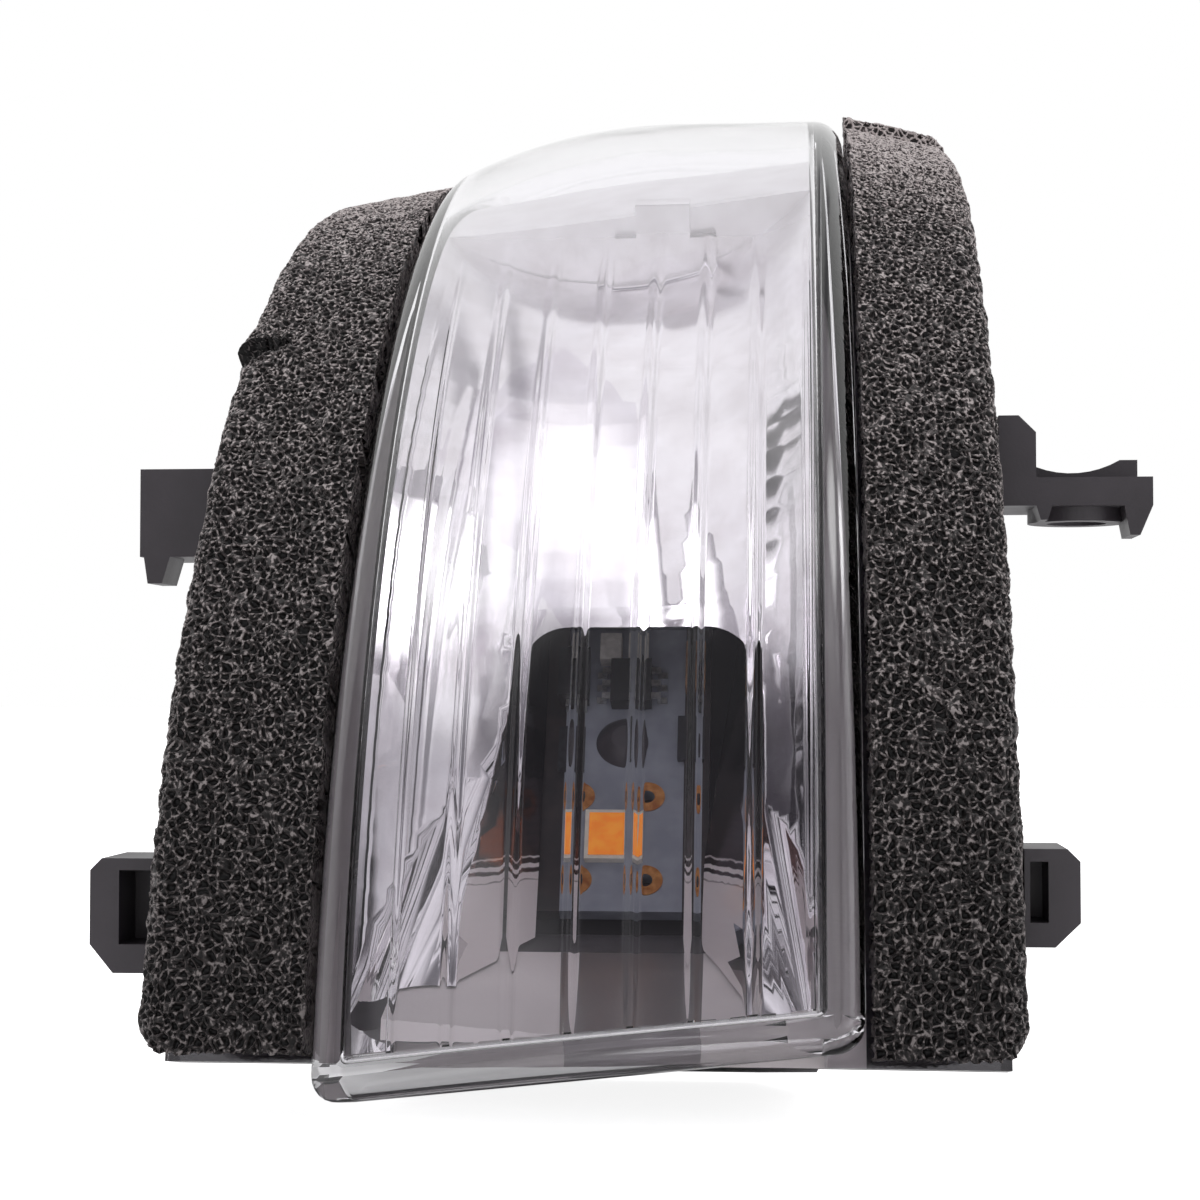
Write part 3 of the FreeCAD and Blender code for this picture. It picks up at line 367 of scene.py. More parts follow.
def open_cell_foam():
    """Open-cell polyurethane foam: cells painted black as the shade in them, between thin struts with painted
    glints, painted lighter towards the top
    """
    material, tree = new_material("open_cell_foam")
    rest = add(tree, "ShaderNodeAttribute", attribute_name="rest").outputs["Vector"]
    walls = add(tree, "ShaderNodeTexVoronoi", {
        "Vector": rest,
        "Scale": per_metre(FOAM_CELL),
    }, feature="DISTANCE_TO_EDGE")
    wide = add(tree, "ShaderNodeMapRange", {
        "Value": walls,
        "From Min": 0.05,
        "From Max": 0.22,
        "To Min": 1.0,
        "To Max": 0.0,
    }, interpolation_type="SMOOTHSTEP")
    fine = add(tree, "ShaderNodeTexVoronoi", {
        "Vector": rest,
        "Scale": per_metre(FOAM_CELL / 2),
    }, feature="DISTANCE_TO_EDGE")
    thin = add(tree, "ShaderNodeMapRange", {
        "Value": fine,
        "From Min": 0.02,
        "From Max": 0.2,
        "To Min": 1.0,
        "To Max": 0.0,
    }, interpolation_type="SMOOTHSTEP")
    patch = add(tree, "ShaderNodeTexNoise", {
        "Vector": rest,
        "Scale": per_metre(2 * FOAM_CELL),
        "Detail": 0.0,
    })
    filled = add(tree, "ShaderNodeMapRange", {
        "Value": patch,
        "From Min": 0.55,
        "From Max": 0.7,
        "To Min": 0.0,
        "To Max": 0.75,
    })
    inner = add(tree, "ShaderNodeMath", {0: thin, 1: filled}, operation="MULTIPLY")
    strut = add(tree, "ShaderNodeMath", {0: wide, 1: inner}, operation="MAXIMUM")
    # Painted glints: noise lightens flecks along the struts
    fleck = add(tree, "ShaderNodeTexNoise", {
        "Vector": rest,
        "Scale": per_metre(FOAM_CELL / 2),
        "Detail": 2.0,
    })
    glint = add(tree, "ShaderNodeMapRange", {
        "Value": fleck,
        "From Min": 0.42,
        "From Max": 0.72,
        "To Min": 0.45,
        "To Max": 1.35,
    })
    cover = add(tree, "ShaderNodeMath", {0: strut, 1: glint}, operation="MULTIPLY")
    height = add(tree, "ShaderNodeSeparateXYZ", {"Vector": rest}).outputs["Z"]
    # Painted light: the foam is painted paler towards the top
    painted_light = add(tree, "ShaderNodeMapRange", {
        "Value": height,
        "From Min": TOP_LIGHT_LOW * MM,
        "From Max": TOP_LIGHT_HIGH * MM,
        "To Min": 0.0,
        "To Max": 0.5,
    })
    cover_and_top_light = add(tree, "ShaderNodeMath", {0: cover, 1: painted_light}, operation="ADD")
    # Painted shade: the pits between the struts are painted near black, as the shade inside the cells; the
    # lightest tones are painted glints
    tone = add(tree, "ShaderNodeValToRGB", {"Fac": cover_and_top_light}, stops=(
        (0.08, "#020202"),
        (0.5, "#1b1817"),
        (0.82, "#564f4e"),
        (1.0, "#a69e9c"),
    ))
    # Painted light: the foam's colour is scaled darker low down and lighter high up
    fade = add(tree, "ShaderNodeMapRange", {
        "Value": height,
        "From Min": HEIGHT_LIGHT_LOW * MM,
        "From Max": HEIGHT_LIGHT_HIGH * MM,
        "To Min": 0.6,
        "To Max": 1.7,
    })
    height_lit = add(tree, "ShaderNodeVectorMath", {0: tone, "Scale": fade}, operation="SCALE")
    # Painted shade: the notch and its rim are painted near black
    notch_shade = add(tree, "ShaderNodeAttribute", attribute_name="notch_shade").outputs["Fac"]
    black = linear("#020202")
    colour = add(tree, "ShaderNodeMix", {"Factor": notch_shade, "A": height_lit, "B": black}, data_type="RGBA")
    bump = add(tree, "ShaderNodeBump", {"Height": wide, "Strength": 0.8, "Distance": 0.16 * MM})
    shader = add(tree, "ShaderNodeBsdfPrincipled", {
        "Base Color": colour,
        "Roughness": 0.36,
        "IOR": 1.5,
        "Specular IOR Level": 0.3,
        "Sheen Weight": 0.4,
        "Sheen Roughness": 0.4,
        "Sheen Tint": linear("#d8cccb"),
        "Normal": bump,
    })
    add(tree, "ShaderNodeOutputMaterial", {"Surface": shader})
    return material


def solder_mask():
    """White solder mask, slightly cloudy, down the middle of the board, between unmasked brown margins"""
    material, tree = new_material("solder_mask")
    place = add(tree, "ShaderNodeTexCoord").outputs["Object"]
    cloud = add(tree, "ShaderNodeTexNoise", {"Vector": place, "Scale": per_metre(1.5), "Detail": 3.0})
    white = add(tree, "ShaderNodeValToRGB", {"Fac": cloud}, stops=((0.35, "#8a8e9a"), (0.65, "#9a9ea9")))
    brown = add(tree, "ShaderNodeValToRGB", {"Fac": cloud}, stops=((0.35, "#1f1817"), (0.65, "#342725")))
    across = add(tree, "ShaderNodeSeparateXYZ", {"Vector": place}).outputs["X"]
    middle = add(tree, "ShaderNodeMath", {
        0: across,
        1: (MIDDLE_X + (MASK_LEFT + MASK_RIGHT) / 2) * MM,
        2: (MASK_RIGHT - MASK_LEFT) / 2 * MM,
    }, operation="COMPARE")
    colour = add(tree, "ShaderNodeMix", {"Factor": middle, "A": brown, "B": white}, data_type="RGBA")
    bump = add(tree, "ShaderNodeBump", {"Height": cloud, "Strength": 0.2, "Distance": 0.02 * MM})
    shader = add(tree, "ShaderNodeBsdfPrincipled", {"Base Color": colour, "Roughness": 0.35, "Normal": bump})
    add(tree, "ShaderNodeOutputMaterial", {"Surface": shader})
    return material


def speckled(name, low, high, size, metallic, roughness, glow=0.0):
    """Small board part: a mottled surface between two tones, with a painted glow of emission that stands in
    for fluorescence
    """
    material, tree = new_material(name)
    place = add(tree, "ShaderNodeTexCoord").outputs["Object"]
    cloud = add(tree, "ShaderNodeTexNoise", {"Vector": place, "Scale": per_metre(size), "Detail": 3.0})
    colour = add(tree, "ShaderNodeValToRGB", {"Fac": cloud}, stops=((0.35, low), (0.65, high)))
    bump = add(tree, "ShaderNodeBump", {"Height": cloud, "Strength": 0.2, "Distance": 0.02 * MM})
    shader = add(tree, "ShaderNodeBsdfPrincipled", {
        "Base Color": colour,
        "Metallic": metallic,
        "Roughness": roughness,
        "Emission Color": linear(high),
        "Emission Strength": glow,
        "Normal": bump,
    })
    add(tree, "ShaderNodeOutputMaterial", {"Surface": shader})
    return material


def crown_at(x, inset):
    """Radius of the crown face at x, set inwards by the inset"""
    fall = max(CROWN_ROLL_X - x, 0)
    return CROWN_RADIUS - CROWN_ROLL_RADIUS + math.sqrt((CROWN_ROLL_RADIUS - inset) ** 2 - fall ** 2)


def seat_at(x):
    """Radius of the face where lens and housing meet"""
    side = -1 if x < 0 else 1
    edge = crown_at(side * CROWN_HALF, 0) - FOAM_SINK
    fall = (abs(x) - CROWN_HALF) * math.tan(math.radians(FLANGE_FALL[side]))
    return edge - FOAM_THICKNESS - FLANGE_THICKNESS - fall


def arc(centre, radius, start, stop):
    """Points along a round corner, between two angles in degrees"""
    turns = [math.radians(start + (stop - start) * step / CORNER_STEPS) for step in range(CORNER_STEPS + 1)]
    return [(centre[0] + radius * math.cos(turn), centre[1] + radius * math.sin(turn)) for turn in turns]


def crown_line(inset, spacing):
    """Section line of the crown from its left seat to its right seat, with points at a given spacing"""
    half = CROWN_HALF - inset
    roll = CROWN_RADIUS - CROWN_ROLL_RADIUS
    left = max(LEFT_CORNER - inset, INNER_CORNER)
    right = max(RIGHT_CORNER - inset, INNER_CORNER)
    left_x = -half + left
    left_r = roll + math.sqrt((CROWN_ROLL_RADIUS - inset - left) ** 2 - (left_x - CROWN_ROLL_X) ** 2)
    lean = math.degrees(math.atan2(left_r - roll, left_x - CROWN_ROLL_X))
    right_centre = (half - right, CROWN_RADIUS - inset - right)
    foot = FLANGE_THICKNESS / 2
    points = [(-half, seat_at(-half) + foot)] + arc((left_x, left_r), left, 180, lean)
    low = points[-1][0]
    span = right_centre[0] - low
    count = round(span / spacing)
    for step in range(1, count):
        x = low + span * step / count
        points.append((x, crown_at(x, inset)))
    return points + arc(right_centre, right, 90, 0) + [(half, seat_at(half) + foot)]


def swept(points, start, stages, closed):
    """Sweeps a section line about the sweep axis in stages of degrees and steps; gives its end lines too"""
    bm = bmesh.new()
    line = [bm.verts.new((x, -r, 0)) for x, r in points]
    ends = zip(line, line[1:] + line[:1]) if closed else zip(line, line[1:])
    last = line + [bm.edges.new(pair) for pair in ends]
    bmesh.ops.rotate(bm, verts=line, cent=(0, 0, 0), matrix=Matrix.Rotation(math.radians(-start), 3, "X"))
    for degrees, steps in stages:
        last = bmesh.ops.spin(bm, geom=last, cent=(0, 0, 0), axis=(-1, 0, 0), angle=math.radians(degrees),
                              steps=steps)["geom_last"]
    return bm, line, [item for item in last if isinstance(item, bmesh.types.BMVert)]


def row_edges(line):
    """Edges that lie in one line of vertices"""
    inside = set(line)
    near = dict.fromkeys(edge for vert in line for edge in vert.link_edges)
    return [edge for edge in near if inside.issuperset(edge.verts)]


def swept_solid(points, start, stop, steps):
    """Closed solid swept by a closed section"""
    bm, first, last = swept(points, start, [(stop - start, steps)], True)
    bmesh.ops.edgeloop_fill(bm, edges=row_edges(first) + row_edges(last))
    bmesh.ops.recalc_face_normals(bm, faces=bm.faces)
    return bm


def flute_depth(x):
    """Extra thickness of the crown at x: a shallow bulge across each flute and a thin ridge between two"""
    across = (x - FLUTE_MIDDLE) / FLUTE_PITCH + FLUTE_COUNT / 2
    if not 0 <= across <= FLUTE_COUNT:
        return 0.0
    part = across % 1
    edge = min(part, 1 - part) * FLUTE_PITCH
    ridge = math.cos(math.pi / 2 * min(edge / RIDGE_HALF, 1)) ** 2
    return FLUTE_SAG * 4 * part * (1 - part) + RIDGE_RISE * ridge


def polar(vert):
    """Distance of a vertex from the sweep axis, and its angle up from the front"""
    return math.hypot(vert.co.y, vert.co.z), math.atan2(vert.co.z, -vert.co.y)


def press_flutes(bm):
    """Presses the flutes into the inside of the crown, fading out where it rolls over the top"""
    low, high = FLUTE_FADE
    for vert in bm.verts:
        radius, angle = polar(vert)
        if radius > crown_at(vert.co.x, LENS_WALL) - FLUTE_SLACK:
            fade = min(max((high - math.degrees(angle)) / (high - low), 0), 1)
            vert.co.yz *= 1 - fade * flute_depth(vert.co.x) / radius


def lean_bottom(bm, start):
    """Turns the bottom end to its slant; the crown slides along itself, less and less towards the top"""
    for vert in bm.verts:
        radius, angle = polar(vert)
        fade = (math.radians(LENS_STOP) - angle) / math.radians(LENS_STOP - start)
        slide = max(fade, 0) * math.asin(vert.co.x * math.tan(math.radians(LENS_SLANT)) / radius)
        vert.co.y = -radius * math.cos(angle + slide)
        vert.co.z = radius * math.sin(angle + slide)


def crown_shell(inset, spacing, rounding):
    """Shell under the crown line, closed at both ends with rounded rims and open at its seat"""
    turn = math.degrees(inset / CROWN_RADIUS)
    rim_turn = math.degrees(2 * LENS_EDGE / CROWN_RADIUS)
    length = LENS_STOP - LENS_START - 2 * turn
    stages = [(rim_turn, 1), (length - 2 * rim_turn, LENS_STEPS), (rim_turn, 1)]
    bm, first, last = swept(crown_line(inset, spacing), LENS_START + turn, stages, False)
    rims = []
    for line in (first, last):
        rim = row_edges(line)
        feet = sorted((v for v in line if len(v.link_edges) == 2), key=lambda v: v.co.x)
        bmesh.ops.edgeloop_fill(bm, edges=rim + [bm.edges.new(feet)])
        rims += rim
    bmesh.ops.bevel(bm, geom=rims, offset=rounding, offset_type="OFFSET", segments=CORNER_STEPS, profile=0.5,
                    affect="EDGES", clamp_overlap=False, material=-1)
    lean_bottom(bm, LENS_START + turn)
    return bm


def new_object(bm, name):
    """Makes the object of a finished mesh"""
    mesh = bpy.data.meshes.new(name)
    bm.to_mesh(mesh)
    bm.free()
    made = bpy.data.objects.new(name, mesh)
    bpy.context.scene.collection.objects.link(made)
    return made


def in_frame(bm, name):
    """Moves a finished section mesh into the frame and makes its object"""
    bmesh.ops.transform(bm, matrix=TO_FRAME, verts=bm.verts)
    return new_object(bm, name)


def settle(piece, *modifiers):
    """Applies modifiers given as kind and settings, and keeps the result as the piece's mesh"""
    for kind, settings in modifiers:
        modifier = piece.modifiers.new(kind, kind)
        for name, value in settings.items():
            setattr(modifier, name, value)
    graph = bpy.context.evaluated_depsgraph_get()
    mesh = bpy.data.meshes.new_from_object(piece.evaluated_get(graph))
    piece.modifiers.clear()
    piece.data = mesh


def smooth(piece, angle):
    """Smooth shading, with edges sharper than the angle kept"""
    piece.data.shade_smooth()
    piece.data.set_sharp_from_angle(angle=math.radians(angle))


def dress(piece, node, material):
    """Gives a piece its material, and lets it stand for a solid"""
    piece.data.materials.clear()
    piece.data.materials.append(material)
    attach(piece, "root")
    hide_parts(node)


def flange(side):
    """Clear side plate of the lens, lying on the housing"""
    outer = side * (CROWN_HALF + FOAM_GAP + FOAM_WIDTH[side] - FOAM_OVERHANG)
    inner = side * (CROWN_HALF - LENS_WALL - FLANGE_ROOT)
    points = [
        (inner, seat_at(inner) + SEAT_HAIRLINE),
        (outer, seat_at(outer) + SEAT_HAIRLINE),
        (outer, seat_at(outer) + FLANGE_THICKNESS),
        (inner, seat_at(inner) + FLANGE_THICKNESS),
    ]
    return in_frame(swept_solid(points, FLANGE_START, FLANGE_STOP, LENS_STEPS), "flange")


def lens():
    """Clear lens: rounded crown, fluted inside, joined to both flanges"""
    bm = crown_shell(0, OUTER_STEP, LENS_EDGE)
    inside = crown_shell(LENS_WALL, INNER_STEP, INNER_CORNER)
    press_flutes(inside)
    inner_mesh = bpy.data.meshes.new("inside")
    inside.to_mesh(inner_mesh)
    inside.free()
    bm.from_mesh(inner_mesh)
    bpy.data.meshes.remove(inner_mesh)
    bmesh.ops.bridge_loops(bm, edges=[edge for edge in bm.edges if edge.is_boundary])
    bmesh.ops.recalc_face_normals(bm, faces=bm.faces)
    piece = in_frame(bm, "lens")
    plates = [flange(side) for side in (-1, 1)]
    joins = [("BOOLEAN", {"operation": "UNION", "solver": "EXACT", "object": plate}) for plate in plates]
    settle(piece, *joins)
    for plate in plates:
        bpy.data.objects.remove(plate)
    smooth(piece, 28)
    settle(piece, ("WEIGHTED_NORMAL", {"keep_sharp": True, "weight": 60}))
    dress(piece, "outer_lens", clear_polycarbonate())


def foam_line(side):
    """Section of a gasket: fine over its face and outer side, plain where it is hidden"""
    inner = side * (CROWN_HALF + FOAM_GAP)
    outer = inner + side * FOAM_WIDTH[side]
    rise = FLANGE_THICKNESS + FOAM_THICKNESS
    face = FOAM_WIDTH[side] - FOAM_EDGE
    wall = FOAM_THICKNESS - FOAM_EDGE
    points = []
    count = round(face / FOAM_GRID)
    for step in range(count + 1):
        x = inner + side * face * step / count
        points.append((x, seat_at(x) + rise))
    bend = math.radians(90)
    count = round(bend * FOAM_EDGE / FOAM_GRID)
    for step in range(1, count):
        turn = bend * step / count
        x = outer - side * FOAM_EDGE * (1 - math.sin(turn))
        points.append((x, seat_at(x) + rise - FOAM_EDGE * (1 - math.cos(turn))))
    count = round(wall / FOAM_GRID)
    for step in range(count + 1):
        points.append((outer, seat_at(outer) + rise - FOAM_EDGE - wall * step / count))
    return points + [(inner, seat_at(inner) + FLANGE_THICKNESS)]


def foam_cells():
    """Node group that warps the foam's cells, keeps each point's place in them and sinks it"""
    tree = bpy.data.node_groups.new("foam_cells", "GeometryNodeTree")
    tree.interface.new_socket("Geometry", in_out="INPUT", socket_type="NodeSocketGeometry")
    tree.interface.new_socket("Geometry", in_out="OUTPUT", socket_type="NodeSocketGeometry")
    source = add(tree, "NodeGroupInput").outputs["Geometry"]
    place = add(tree, "GeometryNodeInputPosition").outputs["Position"]
    bend = add(tree, "ShaderNodeTexNoise", {
        "Vector": place,
        "Scale": per_metre(3 * FOAM_CELL),
        "Detail": 1.0,
    }).outputs
    warped = add(tree, "ShaderNodeVectorMath", {
        0: bend["Color"],
        1: (FOAM_WARP * MM,) * 3,
        2: place,
    }, operation="MULTIPLY_ADD")
    kept = add(tree, "GeometryNodeStoreNamedAttribute", {
        "Geometry": source,
        "Name": "rest",
        "Value": warped,
    }, data_type="FLOAT_VECTOR", domain="POINT")
    walls = add(tree, "ShaderNodeTexVoronoi", {
        "Vector": warped,
        "Scale": per_metre(FOAM_CELL),
    }, feature="DISTANCE_TO_EDGE")
    pit = add(tree, "ShaderNodeMapRange", {
        "Value": walls,
        "From Min": 0.02,
        "From Max": 0.34,
        "To Min": 0.0,
        "To Max": -FOAM_PIT * MM,
    }, interpolation_type="SMOOTHSTEP")
    swell = add(tree, "ShaderNodeMapRange", {
        "Value": bend["Fac"],
        "To Min": -FOAM_SWELL * MM,
        "To Max": FOAM_SWELL * MM,
    })
    depth = add(tree, "ShaderNodeMath", {0: pit, 1: swell}, operation="ADD")
    normal = add(tree, "GeometryNodeInputNormal").outputs["Normal"]
    offset = add(tree, "ShaderNodeVectorMath", {0: normal, "Scale": depth}, operation="SCALE")
    sunk = add(tree, "GeometryNodeSetPosition", {"Geometry": kept, "Offset": offset})
    add(tree, "NodeGroupOutput", {"Geometry": sunk})
    return tree


def tear(vert, notch_shade, deep, radius, angle, base):
    """Marks a point in or near the notch for painted shade, sinks it if in the notch, or draws it out along
    the lip above; gives its new radius
    """
    ragged = NOTCH_RAGGED * math.sin(NOTCH_TEETH * deep) * (deep / NOTCH_REACH)
    along = (angle - math.radians(NOTCH_ANGLE)) * radius + ragged
    half = NOTCH_OPENING / 2 * max(1 - deep / NOTCH_REACH, 0) ** NOTCH_TAPER
    if half > 0 and abs(along) < half + NOTCH_RIM:
        vert[notch_shade] = 1.0
    if abs(along) < half:
        return base + NOTCH_FLOOR
    if half <= along < half + NOTCH_FADE and deep < NOTCH_FADE:
        vert.co.x -= NOTCH_LIP * (1 - (along - half) / NOTCH_FADE) * (1 - deep / NOTCH_FADE)
    return radius


def raised(radius, angle, base):
    """New radius of a point on the gasket with the lip at its top"""
    share = min(max((math.degrees(angle) - FOAM_STOP + LIP_SPAN) / LIP_RAMP, 0), 1)
    return radius + LIP_RISE * share * min((radius - base) / FOAM_THICKNESS, 1)


def round_corner(vert, outer, radius, angle):
    """Pulls a point at a gasket's lower outer corner in to a round; gives its new angle"""
    below = FOAM_CORNER - (angle - math.radians(FOAM_START)) * radius
    beside = FOAM_CORNER - outer + abs(vert.co.x)
    if below <= 0 or beside <= 0:
        return angle
    pull = max(below, beside) / math.hypot(below, beside)
    vert.co.x = math.copysign(outer - FOAM_CORNER + beside * pull, vert.co.x)
    return math.radians(FOAM_START) + (FOAM_CORNER - below * pull) / radius


def foam(name, node, side, cells, material):
    """Die-cut foam gasket, with the ripped notch on the left, painted dark as shade, or the raised lip on the
    right
    """
    bm = swept_solid(foam_line(side), FOAM_START, FOAM_STOP, FOAM_STEPS)
    pace = math.radians(FOAM_STOP - FOAM_START) * crown_at(side * CROWN_HALF, 0) / FOAM_STEPS
    long_edges = [e for e in bm.edges if e.calc_length() > pace / 2 and e.verts[0].co.x == e.verts[1].co.x]
    bmesh.ops.subdivide_edges(bm, edges=long_edges, cuts=round(pace / FOAM_GRID) - 1)
    outer = CROWN_HALF + FOAM_GAP + FOAM_WIDTH[side]
    # Marks where the notch gets its painted shade
    notch_shade = bm.verts.layers.float.new("notch_shade")
    for vert in bm.verts:
        radius, angle = polar(vert)
        base = seat_at(vert.co.x) + FLANGE_THICKNESS
        turned = round_corner(vert, outer, radius, angle)
        new = radius
        if radius >= base + FOAM_BACK and side < 0:
            new = tear(vert, notch_shade, outer - abs(vert.co.x), radius, angle, base)
        elif radius >= base + FOAM_BACK:
            new = raised(radius, angle, base)
        vert.co.y = -new * math.cos(turned)
        vert.co.z = new * math.sin(turned)
    piece = in_frame(bm, name)
    smooth(piece, 180)
    settle(piece, ("NODES", {"node_group": cells}))
    dress(piece, node, material)


def merged_copy(node, name):
    """Copy of a solid with its triangles merged, so that it can be shaded smooth"""
    bm = bmesh.new()
    bm.from_mesh(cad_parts[node].data)
    bmesh.ops.remove_doubles(bm, verts=bm.verts, dist=0.001 * MM)
    bmesh.ops.dissolve_limit(bm, angle_limit=math.radians(0.2), verts=bm.verts, edges=bm.edges)
    return new_object(bm, name)


def housing():
    """Black rear housing with its edges eased as a moulding's are"""
    piece = merged_copy("rear_housing", "housing")
    smooth(piece, 30)
    settle(piece, ("BEVEL", {
        "width": HOUSING_EASE * MM,
        "segments": 3,
        "limit_method": "ANGLE",
        "angle_limit": math.radians(40),
        "use_clamp_overlap": True,
        "harden_normals": False,
    }))
    smooth(piece, 50)
    settle(piece, ("WEIGHTED_NORMAL", {"keep_sharp": True}))
    dress(piece, "rear_housing", satin_black())


def bright_reflector():
    """Metallised reflector, shaded smooth along its curves, with the faces of its niche marked"""
    piece = merged_copy("reflector", "bright_reflector")
    inside = piece.data.attributes.new("niche", "FLOAT", "FACE")
    for face, share in zip(piece.data.polygons, inside.data):
        radius = math.hypot(face.center.y / MM - AXIS_Y, face.center.z / MM - AXIS_Z)
        share.value = 1.0 if radius < TROUGH_RADIUS else 0.0
    smooth(piece, 25)
    settle(piece, ("WEIGHTED_NORMAL", {"keep_sharp": True}))
    dress(piece, "reflector", vacuum_metal())


def paint_board_parts():
    """Finishes of the small solids on the board"""
    finishes = {
        "circuit_board": solder_mask(),
        "led_package": speckled("white_led_body", "#dcd8cc", "#ece9e0", 0.6, 0.0, 0.4),
        # Painted glow: the phosphor emits light although the LED is off, standing in for its fluorescence
        "led_phosphor": speckled("amber_silicone", "#f0780e", "#ff9a2c", 0.7, 0.0, 0.3, 0.3),
        "plated_eyelets": speckled("gold_plating", "#b9703a", "#e2a05c", 0.5, 0.9, 0.32),
        "driver_chip": speckled("black_epoxy", "#151416", "#211f21", 0.3, 0.0, 0.45),
        "surge_diode": speckled("black_epoxy_body", "#19171a", "#262427", 0.3, 0.0, 0.4),
        "driver_chip_legs": speckled("tinned_legs", "#a9a9a6", "#d2d2cf", 0.3, 1.0, 0.3),
        "surge_diode_tabs": speckled("tinned_tabs", "#a9a9a6", "#d2d2cf", 0.3, 1.0, 0.3),
        "terminal_blades": speckled("tinned_blades", "#a9a9a6", "#d2d2cf", 0.5, 1.0, 0.28),
        "signal_diode": speckled("diode_glass", "#7a5a44", "#b48a6a", 0.8, 0.0, 0.12),
        "chip_resistors": speckled("resistor_glaze", "#1b1b1e", "#2b2b30", 0.4, 0.0, 0.3),
        "chip_capacitors": speckled("capacitor_ceramic", "#b9b4ae", "#cfcac4", 0.4, 0.0, 0.5),
    }
    for node, material in finishes.items():
        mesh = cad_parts[node].data
        mesh.materials.clear()
        mesh.materials.append(material)


def studio_world():
    """Tent of light: white roof with two gaps, greyer walls with side gaps, a grey flag over the camera"""
    world = bpy.data.worlds.new("tent")
    bpy.context.scene.world = world
    world.use_nodes = True
    tree = world.node_tree
    tree.nodes.clear()
    way = add(tree, "ShaderNodeTexCoord").outputs["Generated"]
    axes = add(tree, "ShaderNodeSeparateXYZ", {"Vector": way}).outputs
    front = add(tree, "ShaderNodeMapRange", {"Value": axes["Y"], "From Min": 1.0, "From Max": -1.0})
    across = add(tree, "ShaderNodeMapRange", {"Value": axes["X"], "From Min": -1.0, "From Max": 1.0})
    shade = add(tree, "ShaderNodeValToRGB", {"Fac": front}, stops=(
        (0.4, "#ffffff"),
        (0.6, "#d2d0d4"),
        (0.8, "#c4c2c6"),
        (0.88, "#f0eef2"),
        (0.97, "#c8c6ca"),
    ))
    gaps = add(tree, "ShaderNodeValToRGB", {"Fac": across}, stops=(
        (0.02, "#ffffff"),
        (0.04, "#3a383c"),
        (0.09, "#3a383c"),
        (0.12, "#ffffff"),
        (0.825, "#ffffff"),
        (0.84, "#2a282c"),
        (0.87, "#2a282c"),
        (0.89, "#ffffff"),
    ))
    ahead = add(tree, "ShaderNodeMapRange", {"Value": front, "From Min": 0.5, "From Max": 0.54})
    walls = add(tree, "ShaderNodeMix", {
        "Factor": ahead,
        "A": shade,
        "B": gaps,
    }, data_type="RGBA", blend_type="MULTIPLY")
    high = add(tree, "ShaderNodeMapRange", {
        "Value": axes["Z"],
        "From Min": 0.66,
        "From Max": 0.76,
    }, interpolation_type="SMOOTHSTEP")
    roof = add(tree, "ShaderNodeValToRGB", {"Fac": across}, stops=(
        (0.535, "#ffffff"),
        (0.55, "#b4b2b6"),
        (0.56, "#b4b2b6"),
        (0.575, "#ffffff"),
        (0.6, "#ffffff"),
        (0.62, "#b4b2b6"),
        (0.64, "#b4b2b6"),
        (0.66, "#ffffff"),
    ))
    tent = add(tree, "ShaderNodeMix", {"Factor": high, "A": walls, "B": roof}, data_type="RGBA")
    near = add(tree, "ShaderNodeVectorMath", {0: way, 1: FLAG_WAY}, operation="DOT_PRODUCT")
    flag = add(tree, "ShaderNodeValToRGB", {"Fac": near}, stops=((0.9, "#ffffff"), (0.96, "#77757a")))
    dimmed = add(tree, "ShaderNodeMix", {
        "Factor": 1.0,
        "A": tent,
        "B": flag,
    }, data_type="RGBA", blend_type="MULTIPLY")
    lit = add(tree, "ShaderNodeBackground", {"Color": dimmed, "Strength": 1.0})
    seen = add(tree, "ShaderNodeBackground", {"Color": linear("#ffffff"), "Strength": 1.0})
    straight = add(tree, "ShaderNodeLightPath").outputs["Is Camera Ray"]
    mix = add(tree, "ShaderNodeMixShader", {0: straight, 1: lit, 2: seen})
    add(tree, "ShaderNodeOutputWorld", {"Surface": mix})


def soft_box(name, place, size, strength, gauze):
    """Glowing panel aimed at the object, fading to a gauze edge that dims what is behind it"""
    wide, long = size[0] * MM, size[1] * MM
    bm = bmesh.new()
    bmesh.ops.create_grid(bm, x_segments=1, y_segments=1, size=0.5)
    bmesh.ops.scale(bm, vec=(wide, long, 1), verts=bm.verts)
    panel = new_object(bm, name)
    panel.location = Vector(place) * MM
    panel.rotation_euler = (Vector(LIT_POINT) - Vector(place)).to_track_quat("Z", "Y").to_euler()
    material, tree = new_material(name)
    spot = add(tree, "ShaderNodeMapping", {
        "Vector": add(tree, "ShaderNodeTexCoord").outputs["Object"],
        "Scale": (2 / wide, 2 / long, 0),
    })
    reach = add(tree, "ShaderNodeVectorMath", {0: spot}, operation="LENGTH")
    glow = add(tree, "ShaderNodeMapRange", {
        "Value": reach,
        "From Min": 0.35,
        "From Max": 1.0,
        "To Min": 1.0,
        "To Max": 0.0,
    }, interpolation_type="SMOOTHSTEP")
    clear = add(tree, "ShaderNodeBsdfTransparent", {"Color": linear(gauze)})
    light = add(tree, "ShaderNodeEmission", {"Color": linear("#ffffff"), "Strength": strength})
    mix = add(tree, "ShaderNodeMixShader", {0: glow, 1: clear, 2: light})
    add(tree, "ShaderNodeOutputMaterial", {"Surface": mix})
    panel.data.materials.append(material)


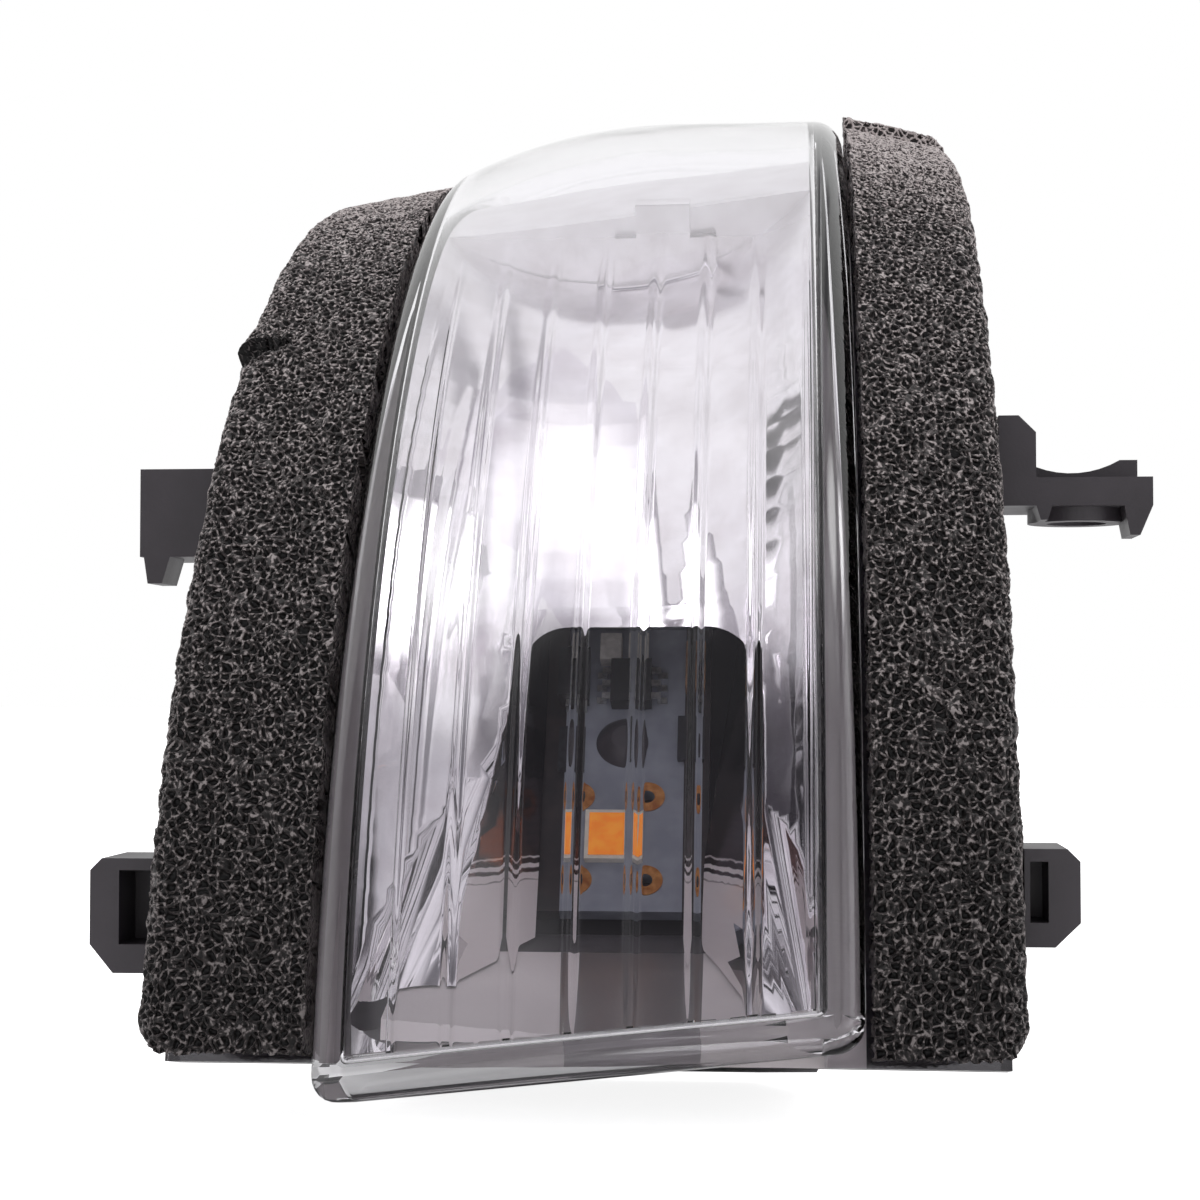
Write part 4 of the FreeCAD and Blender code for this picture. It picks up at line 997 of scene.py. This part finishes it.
def floor():
    """Pale floor under the lamp, white to the camera, and in part so through the lens"""
    bm = bmesh.new()
    bmesh.ops.create_grid(bm, x_segments=2, y_segments=2, size=FLOOR_HALF * MM)
    ground = new_object(bm, "floor")
    ground.location.z = cad_low.z - FLOOR_DROP * MM
    material, tree = new_material("pale_floor")
    plain = add(tree, "ShaderNodeBsdfDiffuse", {"Color": linear("#f4f4f4")})
    white = add(tree, "ShaderNodeEmission", {"Color": linear("#ffffff"), "Strength": 0.88})
    both = add(tree, "ShaderNodeAddShader", {0: plain, 1: white})
    path = add(tree, "ShaderNodeLightPath").outputs
    straight = add(tree, "ShaderNodeMath", {
        0: path["Is Transmission Ray"],
        1: 0.35,
        2: path["Is Camera Ray"],
    }, operation="MULTIPLY_ADD")
    mix = add(tree, "ShaderNodeMixShader", {0: straight, 1: plain, 2: both})
    add(tree, "ShaderNodeOutputMaterial", {"Surface": mix})
    ground.data.materials.append(material)


def camera():
    """Camera at the viewing angle of the picture"""
    data = bpy.data.cameras.new("camera")
    data.lens = CAMERA_LENS
    data.sensor_width = SENSOR
    data.clip_start = CLIP_NEAR * MM
    data.clip_end = CLIP_FAR * MM
    made = bpy.data.objects.new("camera", data)
    made.location = Vector(CAMERA_PLACE) * MM
    made.rotation_euler = (math.radians(90 + CAMERA_RISE), 0, math.radians(CAMERA_TURN))
    bpy.context.scene.collection.objects.link(made)
    bpy.context.scene.camera = made


camera()
lens()
foam_group = foam_cells()
foam_material = open_cell_foam()
foam("left_gasket", "left_foam", -1, foam_group, foam_material)
foam("right_gasket", "right_foam", 1, foam_group, foam_material)
housing()
bright_reflector()
paint_board_parts()
floor()
studio_world()
soft_box("top_box", (-90, -60, 420), (260, 420), 1.5, "#f0eef2")
soft_box("left_box", (-300, -150, 450), (220, 300), 5.0, "#aaa8ac")
soft_box("right_box", (235, -150, 480), (220, 260), 6.0, "#aaa8ac")
bpy.context.scene.view_settings.view_transform = "Standard"
bpy.context.scene.cycles.max_bounces = BOUNCES
bpy.context.scene.cycles.diffuse_bounces = DIFFUSE_BOUNCES
bpy.context.scene.cycles.transmission_bounces = BOUNCES
